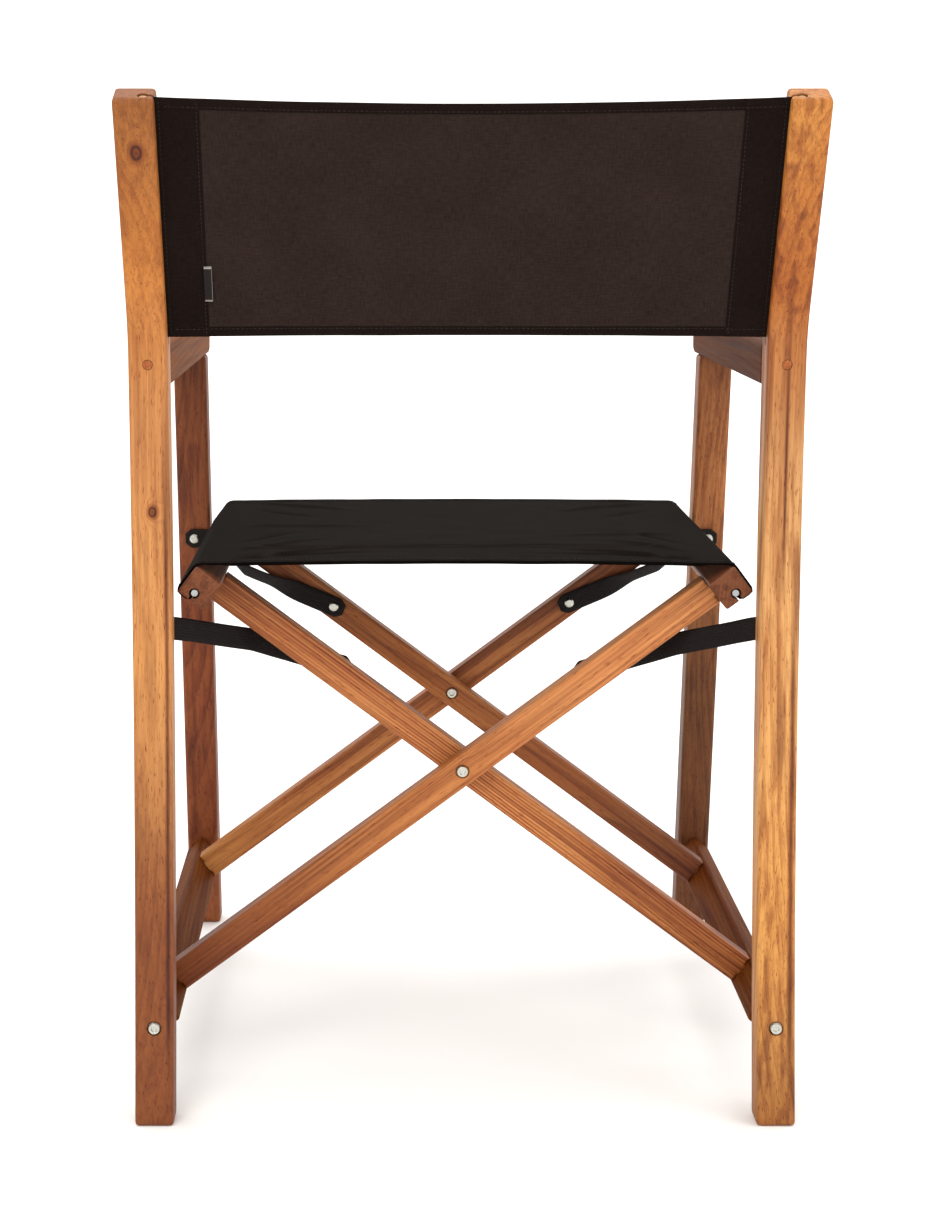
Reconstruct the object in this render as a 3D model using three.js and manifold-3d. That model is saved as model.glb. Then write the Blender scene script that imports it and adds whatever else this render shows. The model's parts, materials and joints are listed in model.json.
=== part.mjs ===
// Folding wooden armchair with a sling seat and a sling back (a "director's" chair).
// Two rigid side frames stand left and right. Two X frames, one inside the other, cross
// between them: each has two bars, a bottom rail that pivots between the legs of one side
// frame, and a seat rail that rests against the other side frame. The cloth seat and two
// pairs of webbing straps stop the X frames when the chair is open.
//
// Millimetres. +Z is up, +Y is towards the back of the chair, +X is the sitter's left.
// The origin is on the floor, under the middle of the bounding box.

import * as THREE from 'three';
import { mergeVertices } from 'three/addons/utils/BufferGeometryUtils.js';
import Module from 'manifold-3d';

const wasm = await Module();
wasm.setup();
const { Manifold, Mesh: SolidMesh } = wasm;

// ---------- driving dimensions ----------

const CLEARANCE = 0.3;            // between pieces that touch
const OVERALL_WIDTH = 565;        // over the outer faces of the posts

// side frames
const POST_WIDTH = 33;            // along X
const POST_DEPTH = 30;            // along Y
const SIDE_X = (OVERALL_WIDTH - POST_WIDTH) / 2;
const INNER_X = SIDE_X - POST_WIDTH / 2;
const REAR_FACE_Y = 215;          // rear face of the rear post at the arm
const REAR_FOOT_SWEEP = 67;       // how far the curved rear leg kicks back at the floor
const BEND_Z = 672;               // height at which the rear post leans back
const BACK_LEAN = THREE.MathUtils.degToRad(22);
const BACK_LENGTH = 199.5;          // of the leaning part, along its rear face
const FRONT_TOP_Y = -206;         // front face of the front post, under the arm
const FRONT_FOOT_SWEEP = 82;      // how far the front leg slopes forward at the floor
const ARM_BOTTOM_Z = 626;
const ARM_HEIGHT = 35;
const ARM_FRONT_Y = -232;

// X frames
const PIVOT_Z = 83;               // bottom pivots, at the middle of the legs
const CROSS_Z = 283;              // cross pivot, on the chair's middle line
const BAR_WIDTH = 26;
const BAR_DEPTH = 20;             // along Y
const BAR_GAP = 1.6;              // between crossing bars, filled by a washer
const REAR_CROSS_Y = 165;         // rear face of the rearmost bar
const FRONT_CROSS_Y = -150;       // rear face of the inner frame's front bar
const SEAT_RAIL = 27;             // square section
const SEAT_RAIL_REACH = 284;      // from the cross pivot to the rail's middle
const SEAT_RAIL_BACK_Y = 200;
const SEAT_RAIL_FRONT_Y = -215;
const BOTTOM_RAIL_THICK = 23;     // along the bar
const BOTTOM_RAIL_HIGH = 30;      // across the bar
const BOTTOM_RAIL_INSET = 1.5;    // from its pivot inwards to its middle
const TENON = 9;

// cloth, rods and straps
const CLOTH = 1.6;
const SEAT_BACK_Y = 195;
const SEAT_FRONT_Y = -209;
const SEAT_ROD_R = 3;
const ROD_BORE_R = 4.6;
const SLOT_WIDTH = 3.4;
const BACK_CLOTH_HEIGHT = 206.5;
const BACK_CLOTH_DROP = 1;        // from the post's top end down to the cloth's edge
const BACK_CLOTH_INSET = 9;       // from the post's rear face to the middle of the cloth
const BACK_ROD_X = INNER_X + 9;
const STRAP_WIDTH = 20;
const STRAP_THICK = 1.8;
const STRAP_HEIGHT_FRONT = 436;   // of the screw on the front post
const STRAP_HEIGHT_REAR = 418;    // of the screw on the rear post
const STRAP_REACH = 151;          // from the cross pivot to the screw on the bar

// hardware
const BOLT_R = 3;
const BOLT_HEAD_R = 5.5;
const BOLT_HEAD_HIGH = 3;
const HEAD_RECESS = 1.6;
const SCREW_HEAD_R = 4.7;
const ARM_SCREW_Z = 645;

// ---------- worked out from them ----------

const BAR_ANGLE = Math.atan2(CROSS_Z - PIVOT_Z, SIDE_X);
const PIVOT_REACH = Math.hypot(CROSS_Z - PIVOT_Z, SIDE_X);
const BOTTOM_RAIL_U = -PIVOT_REACH + BOTTOM_RAIL_INSET;
const REAR_PAIR = {
  outer: REAR_CROSS_Y - BAR_DEPTH / 2,
  inner: REAR_CROSS_Y - BAR_DEPTH * 1.5 - BAR_GAP,
};
const FRONT_PAIR = {
  inner: FRONT_CROSS_Y - BAR_DEPTH / 2,
  outer: FRONT_CROSS_Y - BAR_DEPTH * 1.5 - BAR_GAP,
};
const REAR_RAIL_END = rearFaceY(PIVOT_Z + 20) - POST_DEPTH - 0.6;
const FRONT_RAIL_END = frontFaceY(PIVOT_Z + 20) + POST_DEPTH + 0.6;

const chair = new THREE.Group();
chair.name = 'folding_chair';

// ---------- materials ----------

const finishes = {
  post_wood: { color: '#c07a43', roughness: 0.5, metalness: 0 },
  bar_wood: { color: '#a9622f', roughness: 0.5, metalness: 0 },
  rail_wood: { color: '#8a5230', roughness: 0.55, metalness: 0 },
  cloth: { color: '#241d1b', roughness: 0.95, metalness: 0 },
  webbing: { color: '#0f0e10', roughness: 0.85, metalness: 0 },
  nickel: { color: '#d9d3c3', roughness: 0.3, metalness: 1 },
  steel: { color: '#a9abad', roughness: 0.35, metalness: 1 },
};

function addPart(name, geometry, finish) {
  const mesh = new THREE.Mesh(geometry, new THREE.MeshStandardMaterial(finishes[finish]));
  mesh.name = name;
  chair.add(mesh);
  return mesh;
}

// ---------- solids ----------

function toSolid(geometry) {
  const bare = geometry.clone();
  bare.deleteAttribute('normal');
  bare.deleteAttribute('uv');
  const welded = mergeVertices(bare, 1e-4);
  const mesh = new SolidMesh({
    numProp: 3,
    vertProperties: new Float32Array(welded.attributes.position.array),
    triVerts: new Uint32Array(welded.index.array),
  });
  return new Manifold(mesh);
}

function fromSolid(solid) {
  const mesh = solid.getMesh();
  const geometry = new THREE.BufferGeometry();
  geometry.setAttribute('position', new THREE.BufferAttribute(mesh.vertProperties, 3));
  geometry.setIndex(new THREE.BufferAttribute(mesh.triVerts, 1));
  const faceted = geometry.toNonIndexed();
  faceted.computeVertexNormals();
  return faceted;
}

function cut(geometry, tools) {
  let solid = toSolid(geometry);
  for (const tool of tools) solid = solid.subtract(toSolid(tool));
  return fromSolid(solid);
}

function join(geometries) {
  let solid = toSolid(geometries[0]);
  for (const other of geometries.slice(1)) solid = solid.add(toSolid(other));
  return fromSolid(solid);
}

// The same piece for the other side of the chair.
function mirrored(geometry) {
  const copy = geometry.index ? geometry.toNonIndexed() : geometry.clone();
  const place = copy.attributes.position;
  for (let i = 0; i < place.count; i += 3) {
    const corners = [0, 2, 1].map((k) => new THREE.Vector3().fromBufferAttribute(place, i + k));
    corners.forEach((corner, k) => place.setXYZ(i + k, -corner.x, corner.y, corner.z));
  }
  copy.computeVertexNormals();
  return copy;
}

function forSide(geometry, side) {
  return side > 0 ? geometry : mirrored(geometry);
}

// A prism: outline in the plane (first, second), rounded edges, middle at offset.
// axis 'x': outline is (Y, Z). axis 'y': outline is (X, Z).
function prism(outline, length, offset, axis, edge = 0) {
  const geometry = new THREE.ExtrudeGeometry(outline, {
    depth: length - 2 * edge,
    bevelEnabled: edge > 0,
    bevelThickness: edge,
    bevelSize: edge,
    bevelOffset: -edge,
    bevelSegments: 2,
    curveSegments: 8,
  });
  geometry.translate(0, 0, edge - length / 2);
  if (axis === 'x') {
    geometry.rotateX(Math.PI / 2);
    geometry.rotateZ(Math.PI / 2);
    geometry.translate(offset, 0, 0);
  } else {
    geometry.rotateX(Math.PI / 2);
    geometry.translate(0, offset, 0);
  }
  return geometry;
}

// A rectangle with eased corners, its middle at (x, z).
function rectangle(width, height, ease, x = 0, z = 0) {
  const shape = new THREE.Shape();
  const right = width / 2;
  const top = height / 2;
  shape.moveTo(x - right + ease, z - top);
  shape.lineTo(x + right - ease, z - top);
  shape.quadraticCurveTo(x + right, z - top, x + right, z - top + ease);
  shape.lineTo(x + right, z + top - ease);
  shape.quadraticCurveTo(x + right, z + top, x + right - ease, z + top);
  shape.lineTo(x - right + ease, z + top);
  shape.quadraticCurveTo(x - right, z + top, x - right, z + top - ease);
  shape.lineTo(x - right, z - top + ease);
  shape.quadraticCurveTo(x - right, z - top, x - right + ease, z - top);
  return shape;
}

// A round pin along Y from y0 to y1.
function pinY(radius, y0, y1, x, z, sides = 24) {
  const geometry = new THREE.CylinderGeometry(radius, radius, y1 - y0, sides);
  geometry.translate(x, (y0 + y1) / 2, z);
  return geometry;
}

function block(x0, x1, y0, y1, z0, z1) {
  const geometry = new THREE.BoxGeometry(x1 - x0, y1 - y0, z1 - z0);
  geometry.translate((x0 + x1) / 2, (y0 + y1) / 2, (z0 + z1) / 2);
  return geometry;
}

// A closed body of revolution about Y. profile is [radius, y] from one end to the other.
function turned(profile, x, z, sides = 24) {
  const geometry = new THREE.LatheGeometry(profile.map(([r, y]) => new THREE.Vector2(r, y)), sides);
  geometry.translate(x, 0, z);
  return geometry;
}

// Bar space: u runs along the bar from the cross pivot, v across it, y as in the chair.
// This turns a piece drawn in (u, y, v) into the frame that rises to the sitter's left.
function ontoFrame(geometry) {
  geometry.rotateY(-BAR_ANGLE);
  geometry.translate(0, 0, CROSS_Z);
  return geometry;
}

function onFrame(u, y, v) {
  const x = u * Math.cos(BAR_ANGLE) - v * Math.sin(BAR_ANGLE);
  const z = CROSS_Z + u * Math.sin(BAR_ANGLE) + v * Math.cos(BAR_ANGLE);
  return new THREE.Vector3(x, y, z);
}

// ---------- side frames ----------

function rearFaceY(z) {
  return REAR_FACE_Y + REAR_FOOT_SWEEP * Math.max(0, (BEND_Z - z) / BEND_Z) ** 2;
}

function frontFaceY(z) {
  return FRONT_TOP_Y - FRONT_FOOT_SWEEP * (ARM_BOTTOM_Z - z) / ARM_BOTTOM_Z;
}

// A point of the leaning back part: along its rear face from the bend, and in from that face.
function onBack(along, inset) {
  return new THREE.Vector2(
    REAR_FACE_Y + along * Math.sin(BACK_LEAN) - inset * Math.cos(BACK_LEAN),
    BEND_Z + along * Math.cos(BACK_LEAN) + inset * Math.sin(BACK_LEAN),
  );
}

function rearPostOutline() {
  const ease = 6;
  const bend = 22;
  const footY = REAR_FACE_Y + REAR_FOOT_SWEEP;
  const frontBend = onBack(POST_DEPTH * Math.tan(BACK_LEAN / 2) * -1, POST_DEPTH);
  const shape = new THREE.Shape();
  const corner = (point, before, after) => {
    shape.lineTo(before.x, before.y);
    shape.quadraticCurveTo(point.x, point.y, after.x, after.y);
  };
  shape.moveTo(footY - ease, 0);
  shape.quadraticCurveTo(footY, 0, rearFaceY(ease), ease);
  legCurve(shape, ease, BEND_Z - bend, 0);
  shape.quadraticCurveTo(REAR_FACE_Y, BEND_Z, onBack(bend, 0).x, onBack(bend, 0).y);
  corner(onBack(BACK_LENGTH, 0), onBack(BACK_LENGTH - ease, 0), onBack(BACK_LENGTH, ease));
  corner(
    onBack(BACK_LENGTH, POST_DEPTH),
    onBack(BACK_LENGTH, POST_DEPTH - ease),
    onBack(BACK_LENGTH - ease, POST_DEPTH),
  );
  const innerStart = onBack(bend, POST_DEPTH);
  shape.lineTo(innerStart.x, innerStart.y);
  const frontY = rearFaceY(BEND_Z - bend) - POST_DEPTH;
  shape.quadraticCurveTo(frontBend.x, frontBend.y, frontY, BEND_Z - bend);
  legCurve(shape, BEND_Z - bend, ease, POST_DEPTH);
  shape.quadraticCurveTo(footY - POST_DEPTH, 0, footY - POST_DEPTH + ease, 0);
  return shape;
}

// The gentle curve of the rear leg, in short lines, at an even distance from its rear face.
function legCurve(shape, fromZ, toZ, inset) {
  const steps = 9;
  for (let i = 1; i <= steps; i += 1) {
    const z = THREE.MathUtils.lerp(fromZ, toZ, i / steps);
    shape.lineTo(rearFaceY(z) - inset, z);
  }
}

// The keyhole groove that holds the back cloth's rod: a round bore with a slot to the inner face.
function backGroove() {
  const length = BACK_CLOTH_HEIGHT + BACK_CLOTH_DROP + 10;
  const bore = new THREE.CylinderGeometry(ROD_BORE_R, ROD_BORE_R, length, 20);
  bore.rotateX(Math.PI / 2);
  const slotDeep = BACK_ROD_X - INNER_X + 2;
  const slot = new THREE.BoxGeometry(slotDeep, SLOT_WIDTH, length);
  slot.translate(-slotDeep / 2, 0, 0);
  const groove = join([bore, slot]);
  return ontoBack(groove, BACK_LENGTH + 2 - length / 2, BACK_ROD_X);
}

// Stands a piece drawn upright about the origin in the plane of the back cloth.
function ontoBack(geometry, along, x) {
  const place = onBack(along, BACK_CLOTH_INSET);
  geometry.rotateX(-BACK_LEAN);
  geometry.translate(x, place.x, place.y);
  return geometry;
}

function rearPost() {
  const post = prism(rearPostOutline(), POST_WIDTH, SIDE_X, 'x', 3);
  const rear = rearFaceY(PIVOT_Z);
  return cut(post, [
    backGroove(),
    pinY(2.3, 150, 250, SIDE_X, ARM_SCREW_Z),
    pinY(4.3, 202.8, 250, SIDE_X, ARM_SCREW_Z),
    pinY(BOLT_R + 0.2, rear - 60, rear + 10, SIDE_X, PIVOT_Z),
    pinY(BOLT_HEAD_R + 0.6, rear - HEAD_RECESS, rear + 10, SIDE_X, PIVOT_Z),
    pinY(2.2, rearFaceY(STRAP_HEIGHT_REAR) - POST_DEPTH - 5,
      rearFaceY(STRAP_HEIGHT_REAR) - POST_DEPTH + 20, SIDE_X, STRAP_HEIGHT_REAR),
  ]);
}

function frontPost() {
  const ease = 6;
  const footY = frontFaceY(0);
  const shape = new THREE.Shape();
  shape.moveTo(footY + ease, 0);
  shape.lineTo(footY + POST_DEPTH - ease, 0);
  shape.quadraticCurveTo(footY + POST_DEPTH, 0, frontFaceY(ease) + POST_DEPTH, ease);
  shape.lineTo(FRONT_TOP_Y + POST_DEPTH, ARM_BOTTOM_Z - CLEARANCE);
  shape.lineTo(FRONT_TOP_Y, ARM_BOTTOM_Z - CLEARANCE);
  shape.lineTo(frontFaceY(ease), ease);
  shape.quadraticCurveTo(footY, 0, footY + ease, 0);
  const post = prism(shape, POST_WIDTH, SIDE_X, 'x', 3);
  const front = frontFaceY(PIVOT_Z);
  const strapY = frontFaceY(STRAP_HEIGHT_FRONT) + POST_DEPTH;
  return cut(post, [
    upright(5.3, ARM_BOTTOM_Z - 20, ARM_BOTTOM_Z + 5),
    pinY(BOLT_R + 0.2, front - 10, front + 60, SIDE_X, PIVOT_Z),
    pinY(BOLT_HEAD_R + 0.6, front - 10, front + HEAD_RECESS, SIDE_X, PIVOT_Z),
    pinY(2.2, strapY - 20, strapY + 5, SIDE_X, STRAP_HEIGHT_FRONT),
  ]);
}

// A vertical pin in the joint between the front post and the arm.
function upright(radius, z0, z1) {
  const pin = new THREE.CylinderGeometry(radius, radius, z1 - z0, 20);
  pin.rotateX(Math.PI / 2);
  pin.translate(SIDE_X, FRONT_TOP_Y + POST_DEPTH / 2 - 1, (z0 + z1) / 2);
  return pin;
}

function arm() {
  const rearEnd = REAR_FACE_Y - POST_DEPTH - CLEARANCE;
  const top = ARM_BOTTOM_Z + ARM_HEIGHT;
  const nose = 12;
  const shape = new THREE.Shape();
  shape.moveTo(rearEnd, ARM_BOTTOM_Z);
  shape.lineTo(rearEnd, top);
  shape.lineTo(ARM_FRONT_Y + nose, top);
  shape.quadraticCurveTo(ARM_FRONT_Y, top, ARM_FRONT_Y, top - nose);
  shape.lineTo(ARM_FRONT_Y, ARM_BOTTOM_Z + nose);
  shape.quadraticCurveTo(ARM_FRONT_Y, ARM_BOTTOM_Z, ARM_FRONT_Y + nose, ARM_BOTTOM_Z);
  return cut(prism(shape, POST_WIDTH, SIDE_X, 'x', 3), [
    upright(5.3, ARM_BOTTOM_Z - 5, ARM_BOTTOM_Z + 21),
    pinY(2.3, 145, 200, SIDE_X, ARM_SCREW_Z),
  ]);
}

function armScrew() {
  return turned([
    [0, 148], [1.2, 150], [2, 156], [2, 203.1], [3.9, 204.8], [3.9, 206.8], [0, 206.8],
  ], SIDE_X, ARM_SCREW_Z, 16);
}

function sideFrame(side) {
  const hand = side > 0 ? 'left' : 'right';
  addPart(`rear_post_${hand}`, forSide(rearPost(), side), 'post_wood');
  addPart(`front_post_${hand}`, forSide(frontPost(), side), 'post_wood');
  addPart(`arm_${hand}`, forSide(arm(), side), 'post_wood');
  addPart(`arm_dowel_${hand}`,
    forSide(upright(5, ARM_BOTTOM_Z - 19, ARM_BOTTOM_Z + 20), side), 'rail_wood');
  addPart(`arm_screw_${hand}`, forSide(armScrew(), side), 'steel');
  addPart(`arm_screw_plug_${hand}`,
    forSide(pinY(4, 207.2, REAR_FACE_Y + 0.1, SIDE_X, ARM_SCREW_Z), side), 'post_wood');
}

// ---------- X frames ----------

// One bar with a tenon at each end, drawn in bar space.
function bar(y, strapFace) {
  const lower = BOTTOM_RAIL_U + BOTTOM_RAIL_THICK / 2 + CLEARANCE;
  const upper = SEAT_RAIL_REACH - SEAT_RAIL / 2 - CLEARANCE;
  const half = BAR_WIDTH / 2;
  const tenon = 6;
  const shape = new THREE.Shape();
  shape.moveTo(lower - TENON, -tenon);
  shape.lineTo(lower, -tenon);
  shape.lineTo(lower, -half);
  shape.lineTo(upper, -half);
  shape.lineTo(upper, -tenon);
  shape.lineTo(upper + TENON, -tenon);
  shape.lineTo(upper + TENON, tenon);
  shape.lineTo(upper, tenon);
  shape.lineTo(upper, half);
  shape.lineTo(lower, half);
  shape.lineTo(lower, tenon);
  shape.lineTo(lower - TENON, tenon);
  const recess = BOLT_HEAD_R + 0.6;
  const near = y - BAR_DEPTH / 2;
  const far = y + BAR_DEPTH / 2;
  return cut(prism(shape, BAR_DEPTH, y, 'y', 1.8), [
    pinY(4.4, near - 5, far + 5, 0, 0),
    y === REAR_PAIR.outer || y === FRONT_PAIR.inner
      ? pinY(recess, far - HEAD_RECESS, far + 5, 0, 0)
      : pinY(recess, near - 5, near + HEAD_RECESS, 0, 0),
    pinY(2.2, strapFace > 0 ? far - 14 : near - 5, strapFace > 0 ? far + 5 : near + 14,
      STRAP_REACH, 0),
  ]);
}

function mortises(u, openTowards, barYs) {
  const deep = TENON + CLEARANCE;
  return barYs.map((y) => block(
    openTowards > 0 ? u - deep : u - 5,
    openTowards > 0 ? u + 5 : u + deep,
    y - BAR_DEPTH / 2 - CLEARANCE, y + BAR_DEPTH / 2 + CLEARANCE,
    -6 - CLEARANCE, 6 + CLEARANCE,
  ));
}

// The upper rail: the seat cloth's sleeve and rod slide into its keyhole groove from the end.
function seatRail(barYs) {
  const middle = SEAT_RAIL_REACH;
  const boreV = -SEAT_RAIL / 2 + 7;
  const long = SEAT_RAIL_BACK_Y - SEAT_RAIL_FRONT_Y;
  const y = (SEAT_RAIL_BACK_Y + SEAT_RAIL_FRONT_Y) / 2;
  const rail = prism(rectangle(SEAT_RAIL, SEAT_RAIL, 2.5, middle, 0), long, y, 'y', 1.5);
  return cut(rail, [
    pinY(ROD_BORE_R, y - long, y + long, middle + 1, boreV, 20),
    block(middle + 1 - SLOT_WIDTH / 2, middle + 1 + SLOT_WIDTH / 2, y - long, y + long,
      -SEAT_RAIL, boreV),
    ...mortises(middle - SEAT_RAIL / 2, -1, barYs),
  ]);
}

function bottomRail(barYs) {
  const long = REAR_RAIL_END - FRONT_RAIL_END;
  const y = (REAR_RAIL_END + FRONT_RAIL_END) / 2;
  const outline = rectangle(BOTTOM_RAIL_THICK, BOTTOM_RAIL_HIGH, 3.5, BOTTOM_RAIL_U, 0);
  const insertHole = 24;
  return cut(prism(outline, long, y, 'y', 2), [
    pinY(4.8, REAR_RAIL_END - insertHole, REAR_RAIL_END + 5, -PIVOT_REACH, 0),
    pinY(4.8, FRONT_RAIL_END - 5, FRONT_RAIL_END + insertHole, -PIVOT_REACH, 0),
    ...mortises(BOTTOM_RAIL_U + BOTTOM_RAIL_THICK / 2, 1, barYs),
  ]);
}

// kind 'inner' rises to the sitter's left, 'outer' to the right and crosses outside it.
function xFrame(kind) {
  const side = kind === 'inner' ? 1 : -1;
  const barYs = [REAR_PAIR[kind], FRONT_PAIR[kind]];
  const place = (geometry) => forSide(ontoFrame(geometry), side);
  addPart(`${kind}_bar_rear`, place(bar(barYs[0], -1)), 'bar_wood');
  addPart(`${kind}_bar_front`, place(bar(barYs[1], 1)), 'bar_wood');
  addPart(`${kind}_seat_rail`, place(seatRail(barYs)), 'rail_wood');
  addPart(`${kind}_bottom_rail`, place(bottomRail(barYs)), 'rail_wood');
}

// ---------- bolts, nuts and screws ----------

// A button-head bolt along Y. Its head sits at y and its shank points to y + direction * length.
function bolt(y, direction, length, x, z) {
  const head = BOLT_HEAD_HIGH;
  const profile = [
    [0, -length], [BOLT_R - 0.6, -length], [BOLT_R, -length + 0.6], [BOLT_R, 0],
    [BOLT_HEAD_R, 0], [BOLT_HEAD_R, head * 0.45], [BOLT_HEAD_R - 1, head], [2.6, head],
  ];
  const socket = [[2.3, head - 1.6], [0, head - 1.6]];
  const shape = turned([...profile, ...socket], 0, 0, 24);
  if (direction > 0) shape.rotateZ(Math.PI);
  shape.translate(x, y, z);
  return shape;
}

// The nut of a cross bolt: a flanged sleeve that lines the hole. direction is where the sleeve points.
function sleeveNut(y, direction, length) {
  const shape = turned([
    [3.15, -length], [4.1, -length], [4.1, 0], [BOLT_HEAD_R, 0], [BOLT_HEAD_R, 1.6],
    [BOLT_HEAD_R - 1, 2.4], [0, 2.4], [0, 0.4], [3.15, 0.4], [3.15, -length],
  ], 0, 0, 24);
  if (direction > 0) shape.rotateZ(Math.PI);
  shape.translate(0, y, CROSS_Z);
  return shape;
}

function washer(y0, y1, inner, outer, x, z) {
  return turned([[inner, y0], [outer, y0], [outer, y1], [inner, y1], [inner, y0]], x, z, 24);
}

function crossHardware() {
  const span = 2 * BAR_DEPTH + BAR_GAP;
  const pairs = { rear: REAR_CROSS_Y, front: FRONT_CROSS_Y };
  for (const [name, face] of Object.entries(pairs)) {
    const seat = face - HEAD_RECESS + CLEARANCE;
    const nutSeat = face - span + HEAD_RECESS - CLEARANCE;
    addPart(`cross_bolt_${name}`, bolt(seat, -1, span - 6, 0, CROSS_Z), 'nickel');
    addPart(`cross_nut_${name}`, sleeveNut(nutSeat, 1, span - 6), 'nickel');
    const middle = face - span / 2;
    addPart(`cross_washer_${name}`,
      washer(middle - 0.5, middle + 0.5, 4.5, 9, 0, CROSS_Z), 'steel');
  }
}

function pivotHardware(side) {
  const hand = side > 0 ? 'left' : 'right';
  const x = side * SIDE_X;
  const ends = [
    { name: 'rear', face: rearFaceY(PIVOT_Z), railEnd: REAR_RAIL_END, out: 1 },
    { name: 'front', face: frontFaceY(PIVOT_Z), railEnd: FRONT_RAIL_END, out: -1 },
  ];
  for (const { name, face, railEnd, out } of ends) {
    const seat = face - out * (HEAD_RECESS - CLEARANCE);
    const reach = Math.abs(seat - railEnd) + 20;
    addPart(`pivot_bolt_${name}_${hand}`, bolt(seat, -out, reach, x, PIVOT_Z), 'nickel');
    const [low, high] = [railEnd - out * 22, railEnd - out * 0.5].sort((a, b) => a - b);
    addPart(`pivot_insert_${name}_${hand}`,
      washer(low, high, BOLT_R + 0.15, 4.5, x, PIVOT_Z), 'steel');
    const [near, far] = [railEnd + out * 0.3, railEnd + out * 1.3].sort((a, b) => a - b);
    addPart(`pivot_washer_${name}_${hand}`,
      washer(near, far, BOLT_R + 0.3, 7.5, x, PIVOT_Z), 'steel');
  }
}

// ---------- cloth seat and back, with the rods that hold them ----------

// An even strip of cloth along a path in the (X, Z) plane, as a closed outline.
function stripOutline(path, thickness) {
  const left = [];
  const right = [];
  path.forEach((point, i) => {
    const before = path[Math.max(i - 1, 0)];
    const after = path[Math.min(i + 1, path.length - 1)];
    const into = point.clone().sub(before).normalize();
    const out = after.clone().sub(point).normalize();
    const along = into.add(out).normalize();
    const side = new THREE.Vector2(-along.y, along.x).multiplyScalar(thickness / 2);
    left.push(point.clone().add(side));
    right.unshift(point.clone().sub(side));
  });
  return new THREE.Shape([...left, ...right]);
}

// Half of the seat cloth's section: out of the groove, round the rail's outer corner, up its
// outer face, over the top corner and flat to the middle of the seat.
function seatHalfPath() {
  const lift = CLOTH / 2 + CLEARANCE;
  const half = SEAT_RAIL / 2;
  const turn = 2;
  const u = SEAT_RAIL_REACH;
  const boreV = -half + 7;
  const local = [
    [u + 1, boreV - SEAT_ROD_R - 0.6],
    [u + 1, -half - lift + 0.5],
    [u + 1.6, -half - lift],
    [u + half + lift - turn, -half - lift],
    [u + half + lift, -half - lift + turn],
    [u + half + lift, half + lift - turn],
    [u + half + lift - turn * 0.6, half + lift - 0.2],
  ];
  const path = local.map(([a, b]) => {
    const point = onFrame(a, 0, b);
    return new THREE.Vector2(point.x, point.z);
  });
  const top = path[path.length - 1].y;
  path.push(new THREE.Vector2(path[path.length - 1].x - 4, top + 0.6));
  return path;
}

function seatCloth() {
  const half = seatHalfPath();
  const other = half.map((point) => new THREE.Vector2(-point.x, point.y)).reverse();
  const long = SEAT_BACK_Y - SEAT_FRONT_Y;
  const y = (SEAT_BACK_Y + SEAT_FRONT_Y) / 2;
  const strip = prism(stripOutline([...half, ...other], CLOTH), long, y, 'y');
  const sleeves = [1, -1].map((side) => {
    const centre = onFrame(SEAT_RAIL_REACH + 1, 0, -SEAT_RAIL / 2 + 7);
    return washer(SEAT_FRONT_Y, SEAT_BACK_Y, SEAT_ROD_R + 0.2, SEAT_ROD_R + 1.2,
      side * centre.x, centre.z);
  });
  return join([strip, ...sleeves]);
}

function backCloth() {
  const along = BACK_LENGTH - BACK_CLOTH_DROP - BACK_CLOTH_HEIGHT / 2;
  const panel = new THREE.BoxGeometry(2 * (BACK_ROD_X - SEAT_ROD_R - 0.5), CLOTH, BACK_CLOTH_HEIGHT);
  const parts = [panel];
  for (const side of [1, -1]) {
    const sleeve = washer(1 - BACK_CLOTH_HEIGHT / 2, BACK_CLOTH_HEIGHT / 2 - 1,
      SEAT_ROD_R + 0.2, SEAT_ROD_R + 1.2, 0, 0);
    sleeve.rotateX(Math.PI / 2);
    sleeve.translate(side * BACK_ROD_X, 0, 0);
    parts.push(sleeve);
  }
  return ontoBack(join(parts), along, 0);
}

// The back cloth's rods stand in the posts' grooves, inside the cloth's sleeves.
function backRod(side) {
  const profile = [
    [0, -BACK_CLOTH_HEIGHT], [SEAT_ROD_R, -BACK_CLOTH_HEIGHT], [SEAT_ROD_R, 0], [0, 0],
  ];
  const rod = turned(profile, 0, 0, 20);
  rod.rotateX(Math.PI / 2);
  return ontoBack(rod, BACK_LENGTH - BACK_CLOTH_DROP, side * BACK_ROD_X);
}

function clothAndRods() {
  addPart('seat_cloth', seatCloth(), 'cloth');
  addPart('back_cloth', backCloth(), 'cloth');
  for (const side of [1, -1]) {
    const hand = side > 0 ? 'left' : 'right';
    const centre = onFrame(SEAT_RAIL_REACH + 1, 0, -SEAT_RAIL / 2 + 7);
    addPart(`seat_rod_${hand}`,
      pinY(SEAT_ROD_R, SEAT_FRONT_Y - 2, SEAT_BACK_Y + 2, side * centre.x, centre.z), 'steel');
    addPart(`back_rod_${hand}`, backRod(side), 'post_wood');
  }
}

// ---------- webbing straps ----------

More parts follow.
